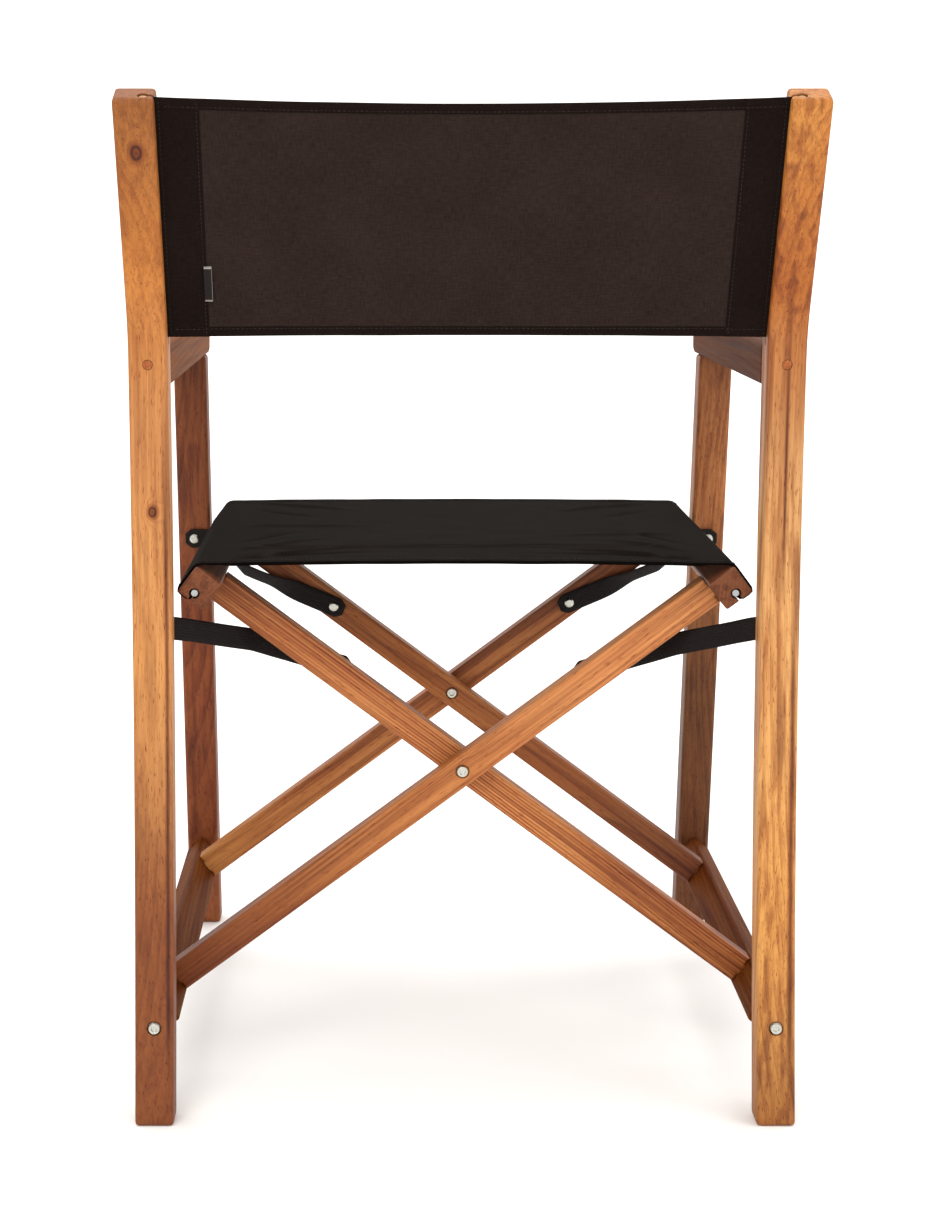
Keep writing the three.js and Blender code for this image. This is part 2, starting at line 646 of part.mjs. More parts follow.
// A flat band through stations. Each has a middle, a unit width direction and a unit normal.
function band(stations, width, thickness) {
  const corners = stations.flatMap(({ at, across, normal }) => {
    const w = across.clone().multiplyScalar(width / 2);
    const n = normal.clone().multiplyScalar(thickness / 2);
    return [
      at.clone().add(w).add(n), at.clone().sub(w).add(n),
      at.clone().sub(w).sub(n), at.clone().add(w).sub(n),
    ];
  });
  const faces = [];
  const quad = (a, b, c, d) => faces.push(a, b, c, a, c, d);
  const last = (stations.length - 1) * 4;
  quad(0, 1, 2, 3);
  quad(last + 3, last + 2, last + 1, last);
  for (let i = 0; i < last; i += 4) {
    for (let k = 0; k < 4; k += 1) {
      const next = (k + 1) % 4;
      quad(i + k, i + 4 + k, i + 4 + next, i + next);
    }
  }
  const geometry = new THREE.BufferGeometry();
  geometry.setAttribute('position',
    new THREE.Float32BufferAttribute(corners.flatMap((corner) => corner.toArray()), 3));
  geometry.setIndex(faces);
  const solid = toSolid(geometry);
  if (solid.volume() > 0) return geometry;
  geometry.setIndex(faces.reverse());
  return geometry;
}

// Where a strap on the sitter's left runs: flat against the post, across to the lower edge of
// the bar (the knee), then flat against the bar. facing is +1 where it lies on rear-facing wood.
function strapRoute(where, frameKind) {
  const lift = STRAP_THICK / 2 + CLEARANCE;
  const front = where === 'front';
  const facing = front ? 1 : -1;
  const z = front ? STRAP_HEIGHT_FRONT : STRAP_HEIGHT_REAR;
  const woodY = front ? frontFaceY(z) + POST_DEPTH : rearFaceY(z) - POST_DEPTH;
  const slope = front
    ? FRONT_FOOT_SWEEP / ARM_BOTTOM_Z
    : -2 * REAR_FOOT_SWEEP * (BEND_Z - z) / BEND_Z ** 2;
  const pair = front ? FRONT_PAIR : REAR_PAIR;
  const barY = pair[frameKind] + facing * (BAR_DEPTH / 2 + lift);
  const post = new THREE.Vector3(SIDE_X, woodY + facing * lift, z);
  const screw = onFrame(STRAP_REACH, barY, 0);
  const rise = Math.atan2(post.z - screw.z, post.x - screw.x);
  const away = BAR_ANGLE - rise;
  const toKnee = (BAR_WIDTH / 2 + 1 + (STRAP_WIDTH / 2) * Math.cos(away)) / Math.sin(away);
  const outwards = new THREE.Vector3(Math.cos(rise), 0, Math.sin(rise));
  return {
    facing,
    post,
    screw,
    postUp: new THREE.Vector3(0, slope, 1).normalize(),
    barUp: new THREE.Vector3(-Math.sin(rise), 0, Math.cos(rise)),
    outwards,
    knee: screw.clone().addScaledVector(outwards, toKnee),
  };
}

function strap(where, frameKind) {
  const { facing, post, screw, postUp, barUp, outwards, knee } = strapRoute(where, frameKind);
  const left = new THREE.Vector3(1, 0, 0);
  const offPost = post.clone().addScaledVector(left, -POST_WIDTH / 2 + 1);
  const onPost = new THREE.Vector3().crossVectors(left, postUp).multiplyScalar(-facing);
  const onBar = new THREE.Vector3(0, facing, 0);
  const crossing = offPost.clone().sub(knee).normalize();
  const between = new THREE.Vector3().crossVectors(crossing, barUp).multiplyScalar(-facing);
  const stations = [
    { at: post.clone().addScaledVector(left, 9), across: postUp, normal: onPost },
    { at: offPost, across: postUp, normal: onPost.clone().add(between).normalize() },
    { at: knee, across: barUp, normal: onBar.clone().add(between).normalize() },
    { at: screw.clone().addScaledVector(outwards, where === 'front' ? -11 : -22), across: barUp, normal: onBar },
  ];
  const holes = [post, screw].map((point) => pinY(2.3, point.y - 6, point.y + 6, point.x, point.z));
  return cut(band(stations, STRAP_WIDTH, STRAP_THICK), holes);
}

// A pan-head wood screw along Y, its head outside at y, driven towards direction.
function strapScrew(y, direction, x, z) {
  const screw = turned([
    [0, -14], [0.8, -13], [1.9, -10], [1.9, 0], [SCREW_HEAD_R, 0], [SCREW_HEAD_R, 1.2],
    [SCREW_HEAD_R - 1.4, 2.4], [0, 2.4],
  ], 0, 0, 16);
  if (direction > 0) screw.rotateZ(Math.PI);
  screw.translate(x, y, z);
  return screw;
}

function straps() {
  for (const side of [1, -1]) {
    const hand = side > 0 ? 'left' : 'right';
    const frameKind = side > 0 ? 'inner' : 'outer';
    for (const where of ['front', 'rear']) {
      addPart(`strap_${where}_${hand}`, forSide(strap(where, frameKind), side), 'webbing');
      const { facing, post, screw } = strapRoute(where, frameKind);
      const lift = facing * (STRAP_THICK / 2 + CLEARANCE + 0.1);
      const slopeRoom = facing * 0.7;
      addPart(`strap_post_screw_${where}_${hand}`,
        strapScrew(post.y + lift + slopeRoom, -facing, side * post.x, post.z), 'nickel');
      addPart(`strap_bar_screw_${where}_${hand}`,
        strapScrew(screw.y + lift, -facing, side * screw.x, screw.z), 'nickel');
    }
  }
}

// ---------- the chair ----------

for (const side of [1, -1]) {
  sideFrame(side);
  pivotHardware(side);
}
xFrame('inner');
xFrame('outer');
crossHardware();
clothAndRods();
straps();

const bounds = new THREE.Box3().setFromObject(chair);
for (const mesh of chair.children) {
  mesh.geometry.translate(0, -(bounds.min.y + bounds.max.y) / 2, -bounds.min.z);
}

export default chair;
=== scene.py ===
import json
import math

import bpy
from mathutils import Matrix, Vector, noise


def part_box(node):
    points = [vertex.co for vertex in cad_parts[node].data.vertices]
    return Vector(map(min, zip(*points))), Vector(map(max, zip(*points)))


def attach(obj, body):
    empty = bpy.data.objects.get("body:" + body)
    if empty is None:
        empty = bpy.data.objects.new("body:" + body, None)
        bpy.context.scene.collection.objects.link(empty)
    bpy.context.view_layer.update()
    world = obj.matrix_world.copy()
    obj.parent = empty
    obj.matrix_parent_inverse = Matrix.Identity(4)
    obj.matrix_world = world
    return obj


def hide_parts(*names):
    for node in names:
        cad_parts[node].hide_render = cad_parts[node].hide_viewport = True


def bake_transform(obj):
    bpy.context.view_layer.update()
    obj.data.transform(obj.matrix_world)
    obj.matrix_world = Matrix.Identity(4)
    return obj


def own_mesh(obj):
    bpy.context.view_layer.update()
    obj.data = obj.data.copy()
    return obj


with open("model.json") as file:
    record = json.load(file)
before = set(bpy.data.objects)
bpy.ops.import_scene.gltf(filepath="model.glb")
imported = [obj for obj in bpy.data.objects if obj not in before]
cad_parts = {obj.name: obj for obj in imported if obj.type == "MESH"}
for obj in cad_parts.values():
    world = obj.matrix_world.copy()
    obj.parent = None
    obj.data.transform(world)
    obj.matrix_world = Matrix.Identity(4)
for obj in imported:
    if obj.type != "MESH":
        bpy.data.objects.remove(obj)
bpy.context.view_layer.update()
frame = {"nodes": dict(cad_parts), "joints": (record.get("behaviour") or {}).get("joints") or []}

MM = 0.001

# ---------- the chair's own sizes, in metres, as the joinery drawing gives them ----------

SHIFT_Y = 0.43 * MM            # the drawing is centred on its feet
FRAME_ANGLE = math.atan2(200, 266)
CROSS_Z = 283 * MM
RAIL_HALF = 13.5 * MM
RAIL_REACH = 284 * MM
CLOTH_THICK = 1.5 * MM         # heavy canvas with its nap
RIM_ROUND = 0.45 * MM          # how far a cut edge bulges
BEND_Z = 672 * MM
BEND_Y = 215 * MM
BACK_LEAN = math.radians(22)
BACK_LENGTH = 199.5 * MM
BACK_ROD_X = 258.5 * MM
BACK_CLOTH_HIGH = 206.5 * MM
BACK_CLOTH_DROP = 1 * MM
BACK_CLOTH_INSET = 9 * MM
SIDE_BAND = 35 * MM            # doubled canvas beside each post
POST_INNER_X = 249.5 * MM
HEM = 9 * MM                   # along the back cloth's top and bottom
SEAT_HEM = 14 * MM
SEAT_SEAM = 11.5 * MM          # the stitched line, in from the seat cloth's front and rear
SEAT_SEAM_HALF = 285 * MM
SEAT_SPAN_HALF = 220 * MM      # from the middle of the seat to where it meets a rail
POST_X = 266 * MM              # middle of each post
POST_DEEP = 30 * MM
FRONT_POST_Y = -206 * MM       # front of the front post at its top
FRONT_POST_TOP = 626 * MM
FRONT_POST_SPLAY = 82 * MM     # how far forward its foot stands
REAR_LEG_SWEEP = 67 * MM       # how far back the rear foot stands
BAR_HALF = 10 * MM
BAR_Y = {                      # middle of the bar that each stay is screwed to
    ("front", "left"): -160 * MM, ("front", "right"): -181.6 * MM,
    ("rear", "left"): 133.4 * MM, ("rear", "right"): 155 * MM,
}
STAY_SCREW_UP_BAR = 151 * MM
STAY_Z = {"front": 436 * MM, "rear": 418 * MM}      # screws in the posts
STAY_TAIL = {"front": 11 * MM, "rear": 22 * MM}     # webbing beyond the bar's screw
STAY_TWIST = {"front": math.radians(48), "rear": math.radians(16)}
WEBBING_THICK = 1.8 * MM
WEBBING_HALF = 10 * MM


# ---------- small helpers ----------

def linear(code):
    """An sRGB hex colour as linear RGBA."""
    parts = [int(code[i:i + 2], 16) / 255 for i in (1, 3, 5)]
    return tuple(c / 12.92 if c <= 0.04045 else ((c + 0.055) / 1.055) ** 2.4
                 for c in parts) + (1.0,)


def add(tree, kind, settings=None, wires=None):
    """One shader node of this kind, with its settings, and what feeds its inputs."""
    made = tree.nodes.new("ShaderNode" + kind)
    for key, value in (settings or {}).items():
        if key == "stops":
            ramp = made.color_ramp
            while len(ramp.elements) < len(value):
                ramp.elements.new(0.5)
            for element, (place, colour) in zip(ramp.elements, value):
                element.position = place
                element.color = linear(colour) if isinstance(colour, str) else (colour,) * 3 + (1,)
        elif isinstance(key, str) and hasattr(made, key):
            setattr(made, key, value)
        else:
            made.inputs[key].default_value = value
    for key, source in (wires or {}).items():
        tree.links.new(source.outputs[0] if hasattr(source, "outputs") else source,
                       made.inputs[key])
    return made


def new_material(name):
    material = bpy.data.materials.new(name)
    material.use_nodes = True
    material.node_tree.nodes.clear()
    return material, material.node_tree


def finish_material(tree, shader):
    add(tree, "OutputMaterial", wires={"Surface": shader})


def smooth(x, low, high):
    t = min(1.0, max(0.0, (x - low) / (high - low)))
    return t * t * (3 - 2 * t)


# ---------- wood ----------

def oiled_acacia(name, grain, heart, span, tones, seed=0.0, ring=4.2, taper=0.03,
                 rings=0.55, streaks=0.6, mottle=0.5, knots=(), stripes=(),
                 fibres=0.42, gloss=0.3):
    """Oiled acacia, planed and sanded: warm orange-brown with darker growth bands and streaks
    that run along the piece, short open pores, and a satin skin that catches the light on the
    eased edges. grain runs along the piece, heart is a point on the tree's middle line, ring is
    the growth band's width in mm, tones are (share of the length, colour) along span, and a
    stripe of dark heartwood is (place across, half width, lower end, upper end)."""
    material, tree = new_material(name)
    place = add(tree, "TexCoord").outputs["Object"]
    turn = Vector(grain).normalized().rotation_difference(Vector((0, 0, 1)))
    heart_turned = turn @ Vector(heart)
    along_grain = add(tree, "Mapping", {
        "Rotation": turn.to_euler(),
        "Location": (-heart_turned.x, -heart_turned.y, 0),
    }, {"Vector": place})
    split = add(tree, "SeparateXYZ", wires={0: along_grain})
    length = add(tree, "MapRange", {1: span[0], 2: span[1], 3: 0.0, 4: 1.0},
                 {0: split.outputs[2]})
    tone = add(tree, "ValToRGB", {"stops": tones}, {0: length})

    # The trunk wanders: a slow bend of a few millimetres over 100 to 200 mm of length.
    slow = add(tree, "Mapping", {"Scale": (8, 8, 2.4), "Location": (seed, seed * 1.7, seed * 0.6)},
               {0: along_grain})
    wander = add(tree, "TexNoise", {"Scale": 1.0, "Detail": 2.0, "Roughness": 0.5},
                 {"Vector": slow})
    shifted = add(tree, "VectorMath", {"operation": "MULTIPLY_ADD", 1: (0.012, 0.012, 0),
                                       2: (-0.006, -0.006, 0)},
                  {0: wander.outputs["Color"]})
    bent = add(tree, "VectorMath", {"operation": "ADD"}, {0: along_grain, 1: shifted})
    flat = add(tree, "VectorMath", {"operation": "MULTIPLY", 1: (1, 1, 0)}, {0: bent})
    radius = add(tree, "VectorMath", {"operation": "LENGTH"}, {0: flat}).outputs["Value"]
    growth = add(tree, "Math", {"operation": "MULTIPLY_ADD", 1: taper},
                 {0: split.outputs[2], 2: radius})
    knot_mask = None
    for centre, size in knots:
        # Growth bands part round a knot, and its own small rings are nearly black at the middle.
        stretched = add(tree, "VectorMath", {"operation": "SUBTRACT", 1: centre}, {0: place})
        oval = add(tree, "VectorMath", {"operation": "MULTIPLY", 1: (1.0, 0.35, 0.75)},
                   {0: stretched})
        away = add(tree, "VectorMath", {"operation": "LENGTH"}, {0: oval}).outputs["Value"]
        near = add(tree, "Math", {"operation": "DIVIDE", 1: size}, {0: away})
        square = add(tree, "Math", {"operation": "MULTIPLY"}, {0: near, 1: near})
        lump = add(tree, "Math", {"operation": "EXPONENT"},
                   {0: add(tree, "Math", {"operation": "MULTIPLY", 1: -0.28}, {0: square})})
        growth = add(tree, "Math", {"operation": "MULTIPLY_ADD", 1: 3.6 * ring * MM},
                     {0: lump, 2: growth})
        core = add(tree, "ValToRGB", {"stops": (
            (0.0, "#7a5a42"), (0.12, "#b5977c"), (0.2, "#977358"), (0.27, "#5a3a25"),
            (0.34, "#c3a58a"), (0.6, "#ffffff"))},
            {0: add(tree, "Math", {"operation": "MULTIPLY", 1: 0.3}, {0: near})})
        knot_mask = core if knot_mask is None else add(
            tree, "MixRGB", {"blend_type": "MULTIPLY", 0: 1.0}, {1: knot_mask, 2: core})
    count = add(tree, "Math", {"operation": "MULTIPLY", 1: 1 / (ring * MM)}, {0: growth})
    band = add(tree, "Math", {"operation": "FRACT"}, {0: count})
    band_tone = add(tree, "ValToRGB", {"stops": (
        (0.0, "#ffffff"), (0.45, "#f3e3d2"), (0.78, "#c49a78"), (0.9, "#94694b"),
        (1.0, "#fbf3ea"))},
        {0: band})
    # Some years are faint: the bands come and go over 20 to 60 mm.
    strength = add(tree, "TexNoise", {"Scale": 1.0, "Detail": 1.0},
                   {"Vector": add(tree, "Mapping",
                                  {"Scale": (38, 38, 6), "Location": (seed * 3, 2, seed)},
                                  {0: along_grain})})
    band_share = add(tree, "MapRange", {1: 0.32, 2: 0.66, 3: 0.12 * rings, 4: rings},
                     {0: strength.outputs[0]})
    colour = add(tree, "MixRGB", {"blend_type": "MULTIPLY"},
                 {0: band_share, 1: tone, 2: band_tone})

    # Dark heartwood streaks 4 to 10 mm wide and hand-long.
    wide = add(tree, "TexNoise", {"Scale": 1.0, "Detail": 3.0, "Roughness": 0.55,
                                  "Distortion": 0.25},
               {"Vector": add(tree, "Mapping",
                              {"Scale": (125, 125, 1.7), "Location": (seed * 5, seed, 7)},
                              {0: bent})})
    wide_tone = add(tree, "ValToRGB", {"stops": (
        (0.0, "#fff6ea"), (0.47, "#fffaf4"), (0.6, "#c6a284"), (0.74, "#86614a"))},
        {0: wide.outputs[0]})
    colour = add(tree, "MixRGB", {"blend_type": "MULTIPLY", 0: streaks}, {1: colour, 2: wide_tone})

    for centre_x, half_wide, low, high in stripes:
        wavy = add(tree, "Math", {"operation": "MULTIPLY_ADD", 1: 4 * MM},
                   {0: wander.outputs[0], 2: split.outputs[0]})
        off = add(tree, "Math", {"operation": "ABSOLUTE"},
                  {0: add(tree, "Math", {"operation": "SUBTRACT", 1: centre_x - heart[0] + 2 * MM},
                          {0: wavy})})
        beside = add(tree, "MapRange",
                     {1: 0.0, 2: half_wide, 3: 0.9, 4: 0.0, "interpolation_type": "SMOOTHSTEP"},
                     {0: off})
        above = add(tree, "MapRange", {1: low, 2: low + 0.06}, {0: split.outputs[2]})
        below = add(tree, "MapRange", {1: high, 2: high - 0.12}, {0: split.outputs[2]})
        ends = add(tree, "Math", {"operation": "MULTIPLY"}, {0: above, 1: below})
        share = add(tree, "Math", {"operation": "MULTIPLY"}, {0: beside, 1: ends})
        colour = add(tree, "MixRGB", {"blend_type": "MULTIPLY", 2: linear("#85563a")},
                     {0: share, 1: colour})

    # Soft patches, palm-wide, from uneven oil.
    patch = add(tree, "TexNoise", {"Scale": 1.0, "Detail": 2.0},
                {"Vector": add(tree, "Mapping",
                               {"Scale": (24, 24, 6), "Location": (seed * 2, 4, seed * 4)},
                               {0: along_grain})})
    patch_tone = add(tree, "ValToRGB",
                     {"stops": ((0.3, "#c79a76"), (0.5, "#f5e6d8"), (0.68, "#ffffff"))},
                     {0: patch.outputs[0]})
    colour = add(tree, "MixRGB", {"blend_type": "MULTIPLY", 0: mottle}, {1: colour, 2: patch_tone})

    # Fibres: real ones are 0.02 mm, drawn 1.2 mm wide so that they show.
    fibre = add(tree, "TexNoise", {"Scale": 1.0, "Detail": 4.0, "Roughness": 0.6},
                {"Vector": add(tree, "Mapping",
                               {"Scale": (430, 430, 4.5), "Location": (1, seed, 3)}, {0: bent})})
    fibre_tone = add(tree, "ValToRGB", {"stops": (
        (0.32, "#a27c60"), (0.47, "#e6d3bd"), (0.58, "#fdf6ec"), (0.7, "#ffffff"))},
        {0: fibre.outputs[0]})
    colour = add(tree, "MixRGB", {"blend_type": "MULTIPLY", 0: fibres}, {1: colour, 2: fibre_tone})

    # Pores: open vessels 0.2 mm across and 5 mm long, drawn 0.7 mm across.
    pore = add(tree, "TexNoise", {"Scale": 1.0, "Detail": 1.0},
               {"Vector": add(tree, "Mapping",
                              {"Scale": (1150, 1150, 95), "Location": (seed, 9, 1)}, {0: bent})})
    pore_mask = add(tree, "MapRange", {1: 0.62, 2: 0.74}, {0: pore.outputs[0]})
    colour = add(tree, "MixRGB", {"blend_type": "MULTIPLY", 2: linear("#bd9374")},
                 {0: pore_mask, 1: colour})
    if knot_mask is not None:
        colour = add(tree, "MixRGB", {"blend_type": "MULTIPLY", 0: 1.0}, {1: colour, 2: knot_mask})

    # Eased edges: the light rolls over them, and a painted highlight makes them a little paler.
    eased = add(tree, "Bevel", {"samples": 4, "Radius": 1.6 * MM})
    sharp = add(tree, "NewGeometry").outputs["Normal"]
    facing = add(tree, "VectorMath", {"operation": "DOT_PRODUCT"},
                 {0: eased, 1: sharp}).outputs["Value"]
    painted_edge_highlight = add(tree, "MapRange", {1: 0.985, 2: 0.9, 3: 0.0, 4: 0.12}, {0: facing})
    colour = add(tree, "MixRGB", {"blend_type": "SCREEN", 2: linear("#6b4128")},
                 {0: painted_edge_highlight, 1: colour})

    height = add(tree, "Math", {"operation": "MULTIPLY_ADD", 1: -0.8},
                 {0: pore_mask, 2: fibre.outputs[0]})
    relief = add(tree, "Bump", {"Strength": 0.35, "Distance": 0.25 * MM},
                 {"Height": height, "Normal": eased})
    rough = add(tree, "MapRange", {1: 0.3, 2: 0.7, 3: 0.5, 4: 0.62}, {0: fibre.outputs[0]})
    shader = add(tree, "BsdfPrincipled", {"IOR": 1.47, "Specular IOR Level": gloss,
                                          "Coat Weight": gloss / 10, "Coat Roughness": 0.35},
                 {"Base Color": colour, "Roughness": rough, "Normal": relief})
    finish_material(tree, shader)
    return material


# ---------- cloth, webbing and metal ----------

def cotton_canvas(name, thread, dusk, pitch=1.5, doubled="#b0adab", sheen=0.02):
    """Heavy cotton canvas, piece-dyed brown-black, plain weave: matt, with a faint pale sheen at
    a glancing angle and small slubs. Where it is doubled over, no light comes through and it looks
    darker. Its threads are 0.55 mm apart and are drawn 1.5 mm apart so that the weave shows. It
    reads the cut's own place, in metres, from the cloth."""
    material, tree = new_material(name)
    cut = add(tree, "Attribute", {"attribute_name": "cut_place"}).outputs["Vector"]
    split = add(tree, "SeparateXYZ", wires={0: cut})
    turns = 2 * math.pi / (pitch * MM)
    warp = add(tree, "Math", {"operation": "SINE"},
               {0: add(tree, "Math", {"operation": "MULTIPLY", 1: turns}, {0: split.outputs[0]})})
    weft = add(tree, "Math", {"operation": "SINE"},
               {0: add(tree, "Math", {"operation": "MULTIPLY", 1: turns}, {0: split.outputs[1]})})
    weave = add(tree, "Math", {"operation": "MULTIPLY"}, {0: warp, 1: weft})
    slub = add(tree, "TexNoise", {"Scale": 1.0, "Detail": 3.0, "Roughness": 0.6},
               {"Vector": add(tree, "Mapping", {"Scale": (130, 820, 1)}, {0: cut})})
    cross_slub = add(tree, "TexNoise", {"Scale": 1.0, "Detail": 3.0, "Roughness": 0.6},
                     {"Vector": add(tree, "Mapping",
                                    {"Scale": (820, 130, 1), "Location": (3, 5, 0)}, {0: cut})})
    slubs = add(tree, "Math", {"operation": "ADD"}, {0: slub.outputs[0], 1: cross_slub.outputs[0]})
    cloudy = add(tree, "TexNoise", {"Scale": 16.0, "Detail": 3.0}, {"Vector": cut})
    # The colour follows the weave and the slubs, lighter where the threads stand higher: partly
    # painted shade in the cloth's relief, partly the yarn's own uneven tone.
    mixed = add(tree, "Math", {"operation": "MULTIPLY_ADD", 1: 0.45},
                {0: add(tree, "Math", {"operation": "MULTIPLY_ADD", 1: 0.14},
                        {0: weave, 2: slubs}),
                 2: add(tree, "Math", {"operation": "MULTIPLY", 1: 0.25}, {0: cloudy.outputs[0]})})
    colour = add(tree, "ValToRGB", {"stops": ((0.4, dusk), (0.72, thread))}, {0: mixed})
    colour = add(tree, "MixRGB", {"blend_type": "MULTIPLY", 2: linear(doubled)},
                 {0: split.outputs[2], 1: colour})
    height = add(tree, "Math", {"operation": "MULTIPLY_ADD", 1: 0.5}, {0: weave, 2: slubs})
    relief = add(tree, "Bump", {"Strength": 0.5, "Distance": 0.3 * MM}, {"Height": height})
    shader = add(tree, "BsdfPrincipled", {
        "Roughness": 0.95, "IOR": 1.45, "Specular IOR Level": 0.02, "Sheen Weight": sheen,
        "Sheen Roughness": 0.5, "Sheen Tint": linear("#a39588"),
    }, {"Base Color": colour, "Normal": relief})
    finish_material(tree, shader)
    return material


def polypropylene_webbing(name):
    """Polypropylene webbing, woven with a cord-like rib across it: black, slightly waxy, its
    ribs 1.4 mm apart as on the real 20 mm tape."""
    material, tree = new_material(name)
    cut = add(tree, "Attribute", {"attribute_name": "cut_place"}).outputs["Vector"]
    split = add(tree, "SeparateXYZ", wires={0: cut})
    rib = add(tree, "Math", {"operation": "SINE"},
              {0: add(tree, "Math", {"operation": "MULTIPLY", 1: 2 * math.pi / (1.4 * MM)},
                      {0: split.outputs[0]})})
    cord = add(tree, "Math", {"operation": "SINE"},
               {0: add(tree, "Math", {"operation": "MULTIPLY", 1: 2 * math.pi / (2.5 * MM)},
                       {0: split.outputs[1]})})
    height = add(tree, "Math", {"operation": "MULTIPLY_ADD", 1: 0.6}, {0: cord, 2: rib})
    # The rib crowns are painted lighter and the troughs darker: painted shade in the webbing's
    # relief.
    shade = add(tree, "MapRange", {1: -1.6, 2: 1.6, 3: 0.0, 4: 1.0}, {0: height})
    fuzz = add(tree, "TexNoise", {"Scale": 400.0, "Detail": 2.0}, {"Vector": cut})
    tone = add(tree, "Math", {"operation": "MULTIPLY"}, {0: shade, 1: fuzz.outputs[0]})
    colour = add(tree, "ValToRGB", {"stops": ((0.0, "#100d0c"), (0.7, "#292322"))}, {0: tone})
    relief = add(tree, "Bump", {"Strength": 0.6, "Distance": 0.4 * MM}, {"Height": height})
    shader = add(tree, "BsdfPrincipled",
                 {"Roughness": 0.75, "IOR": 1.49, "Specular IOR Level": 0.15},
                 {"Base Color": colour, "Normal": relief})
    finish_material(tree, shader)
    return material


def plated_metal(name, base, shade, rough, grit):
    """A barrel-plated steel fastener: bright but not mirror-like, with a faint tumbled grit that
    leaves the plating a little uneven in tone and gloss."""
    material, tree = new_material(name)
    place = add(tree, "TexCoord").outputs["Object"]
    speck = add(tree, "TexNoise", {"Scale": 1.0 / (grit * MM), "Detail": 3.0, "Roughness": 0.65},
                {"Vector": place})
    colour = add(tree, "ValToRGB", {"stops": ((0.35, shade), (0.6, base))}, {0: speck.outputs[0]})
    uneven = add(tree, "MapRange", {1: 0.3, 2: 0.7, 3: rough - 0.06, 4: rough + 0.1},
                 {0: speck.outputs[0]})
    eased = add(tree, "Bevel", {"samples": 4, "Radius": 0.5 * MM})
    relief = add(tree, "Bump", {"Strength": 0.2, "Distance": 0.1 * MM},
                 {"Height": speck.outputs[0], "Normal": eased})
    shader = add(tree, "BsdfPrincipled", {"Metallic": 1.0},
                 {"Base Color": colour, "Roughness": uneven, "Normal": relief})
    finish_material(tree, shader)
    return material


def label_tape_satin(name):
    """Satin label tape: black and smooth, with a pale grey selvedge 0.8 mm wide along each edge,
    and a painted highlight along the rounded fold."""
    material, tree = new_material(name)
    cut = add(tree, "Attribute", {"attribute_name": "cut_place"}).outputs["Vector"]
    split = add(tree, "SeparateXYZ", wires={0: cut})
    across = add(tree, "Math", {"operation": "ABSOLUTE"},
                 {0: add(tree, "Math", {"operation": "SUBTRACT", 1: 15 * MM},
                         {0: split.outputs[1]})})
    edge = add(tree, "MapRange", {1: 13.6 * MM, 2: 14.2 * MM, 3: 0.0, 4: 1.0}, {0: across})
    # A painted highlight along the rounded fold.
    fold = add(tree, "MapRange", {1: 0.75, 2: 0.35, 3: 0.0, 4: 1.0},
               {0: add(tree, "Math", {"operation": "ABSOLUTE"}, {0: split.outputs[2]})})
    pale = add(tree, "Math", {"operation": "MAXIMUM"}, {0: edge, 1: fold})
    gleam = add(tree, "TexNoise", {"Scale": 900.0, "Detail": 2.0}, {"Vector": cut})
    black = add(tree, "ValToRGB", {"stops": ((0.3, "#15110f"), (0.7, "#262120"))},
                {0: gleam.outputs[0]})
    colour = add(tree, "MixRGB", {2: linear("#8f8983")}, {0: pale, 1: black})
    relief = add(tree, "Bump", {"Strength": 0.3, "Distance": 0.1 * MM},
                 {"Height": gleam.outputs[0]})
    shader = add(tree, "BsdfPrincipled", {"Roughness": 0.7, "Specular IOR Level": 0.1},
                 {"Base Color": colour, "Normal": relief})
    finish_material(tree, shader)
    return material


def sewing_thread(name, pale, dark):
    """Bonded polyester thread, two-ply: a little shinier than the canvas it sits in. The ply
    turns once in 1.2 mm."""
    material, tree = new_material(name)
    place = add(tree, "TexCoord").outputs["Object"]
    ply = add(tree, "TexWave", {"Scale": 1.0 / (1.2 * MM) / 6.0, "Distortion": 1.0,
                                "bands_direction": "DIAGONAL"},
              {"Vector": place})
    # The ply's crests are painted paler and the groove between the plies darker: painted shade in
    # the twist.
    colour = add(tree, "ValToRGB", {"stops": ((0.2, dark), (0.8, pale))}, {0: ply.outputs[1]})
    relief = add(tree, "Bump", {"Strength": 0.4, "Distance": 0.1 * MM}, {"Height": ply.outputs[1]})
    shader = add(tree, "BsdfPrincipled", {"Roughness": 0.8, "Specular IOR Level": 0.15},
                 {"Base Color": colour, "Normal": relief})
    finish_material(tree, shader)
    return material


# ---------- cloth shapes ----------

def face_mesh(name, points, faces, cut_places, face_slots, materials):
    mesh = bpy.data.meshes.new(name)
    mesh.from_pydata([tuple(p) for p in points], [], faces)
    mesh.update()
    flat = mesh.attributes.new("cut_place", "FLOAT_VECTOR", "POINT")
    flat.data.foreach_set("vector", [c for place in cut_places for c in place])
    for material in materials:
        mesh.materials.append(material)
    mesh.polygons.foreach_set("material_index", face_slots)
    mesh.polygons.foreach_set("use_smooth", [True] * len(faces))
    made = bpy.data.objects.new(name, mesh)
    bpy.context.scene.collection.objects.link(made)
    return made


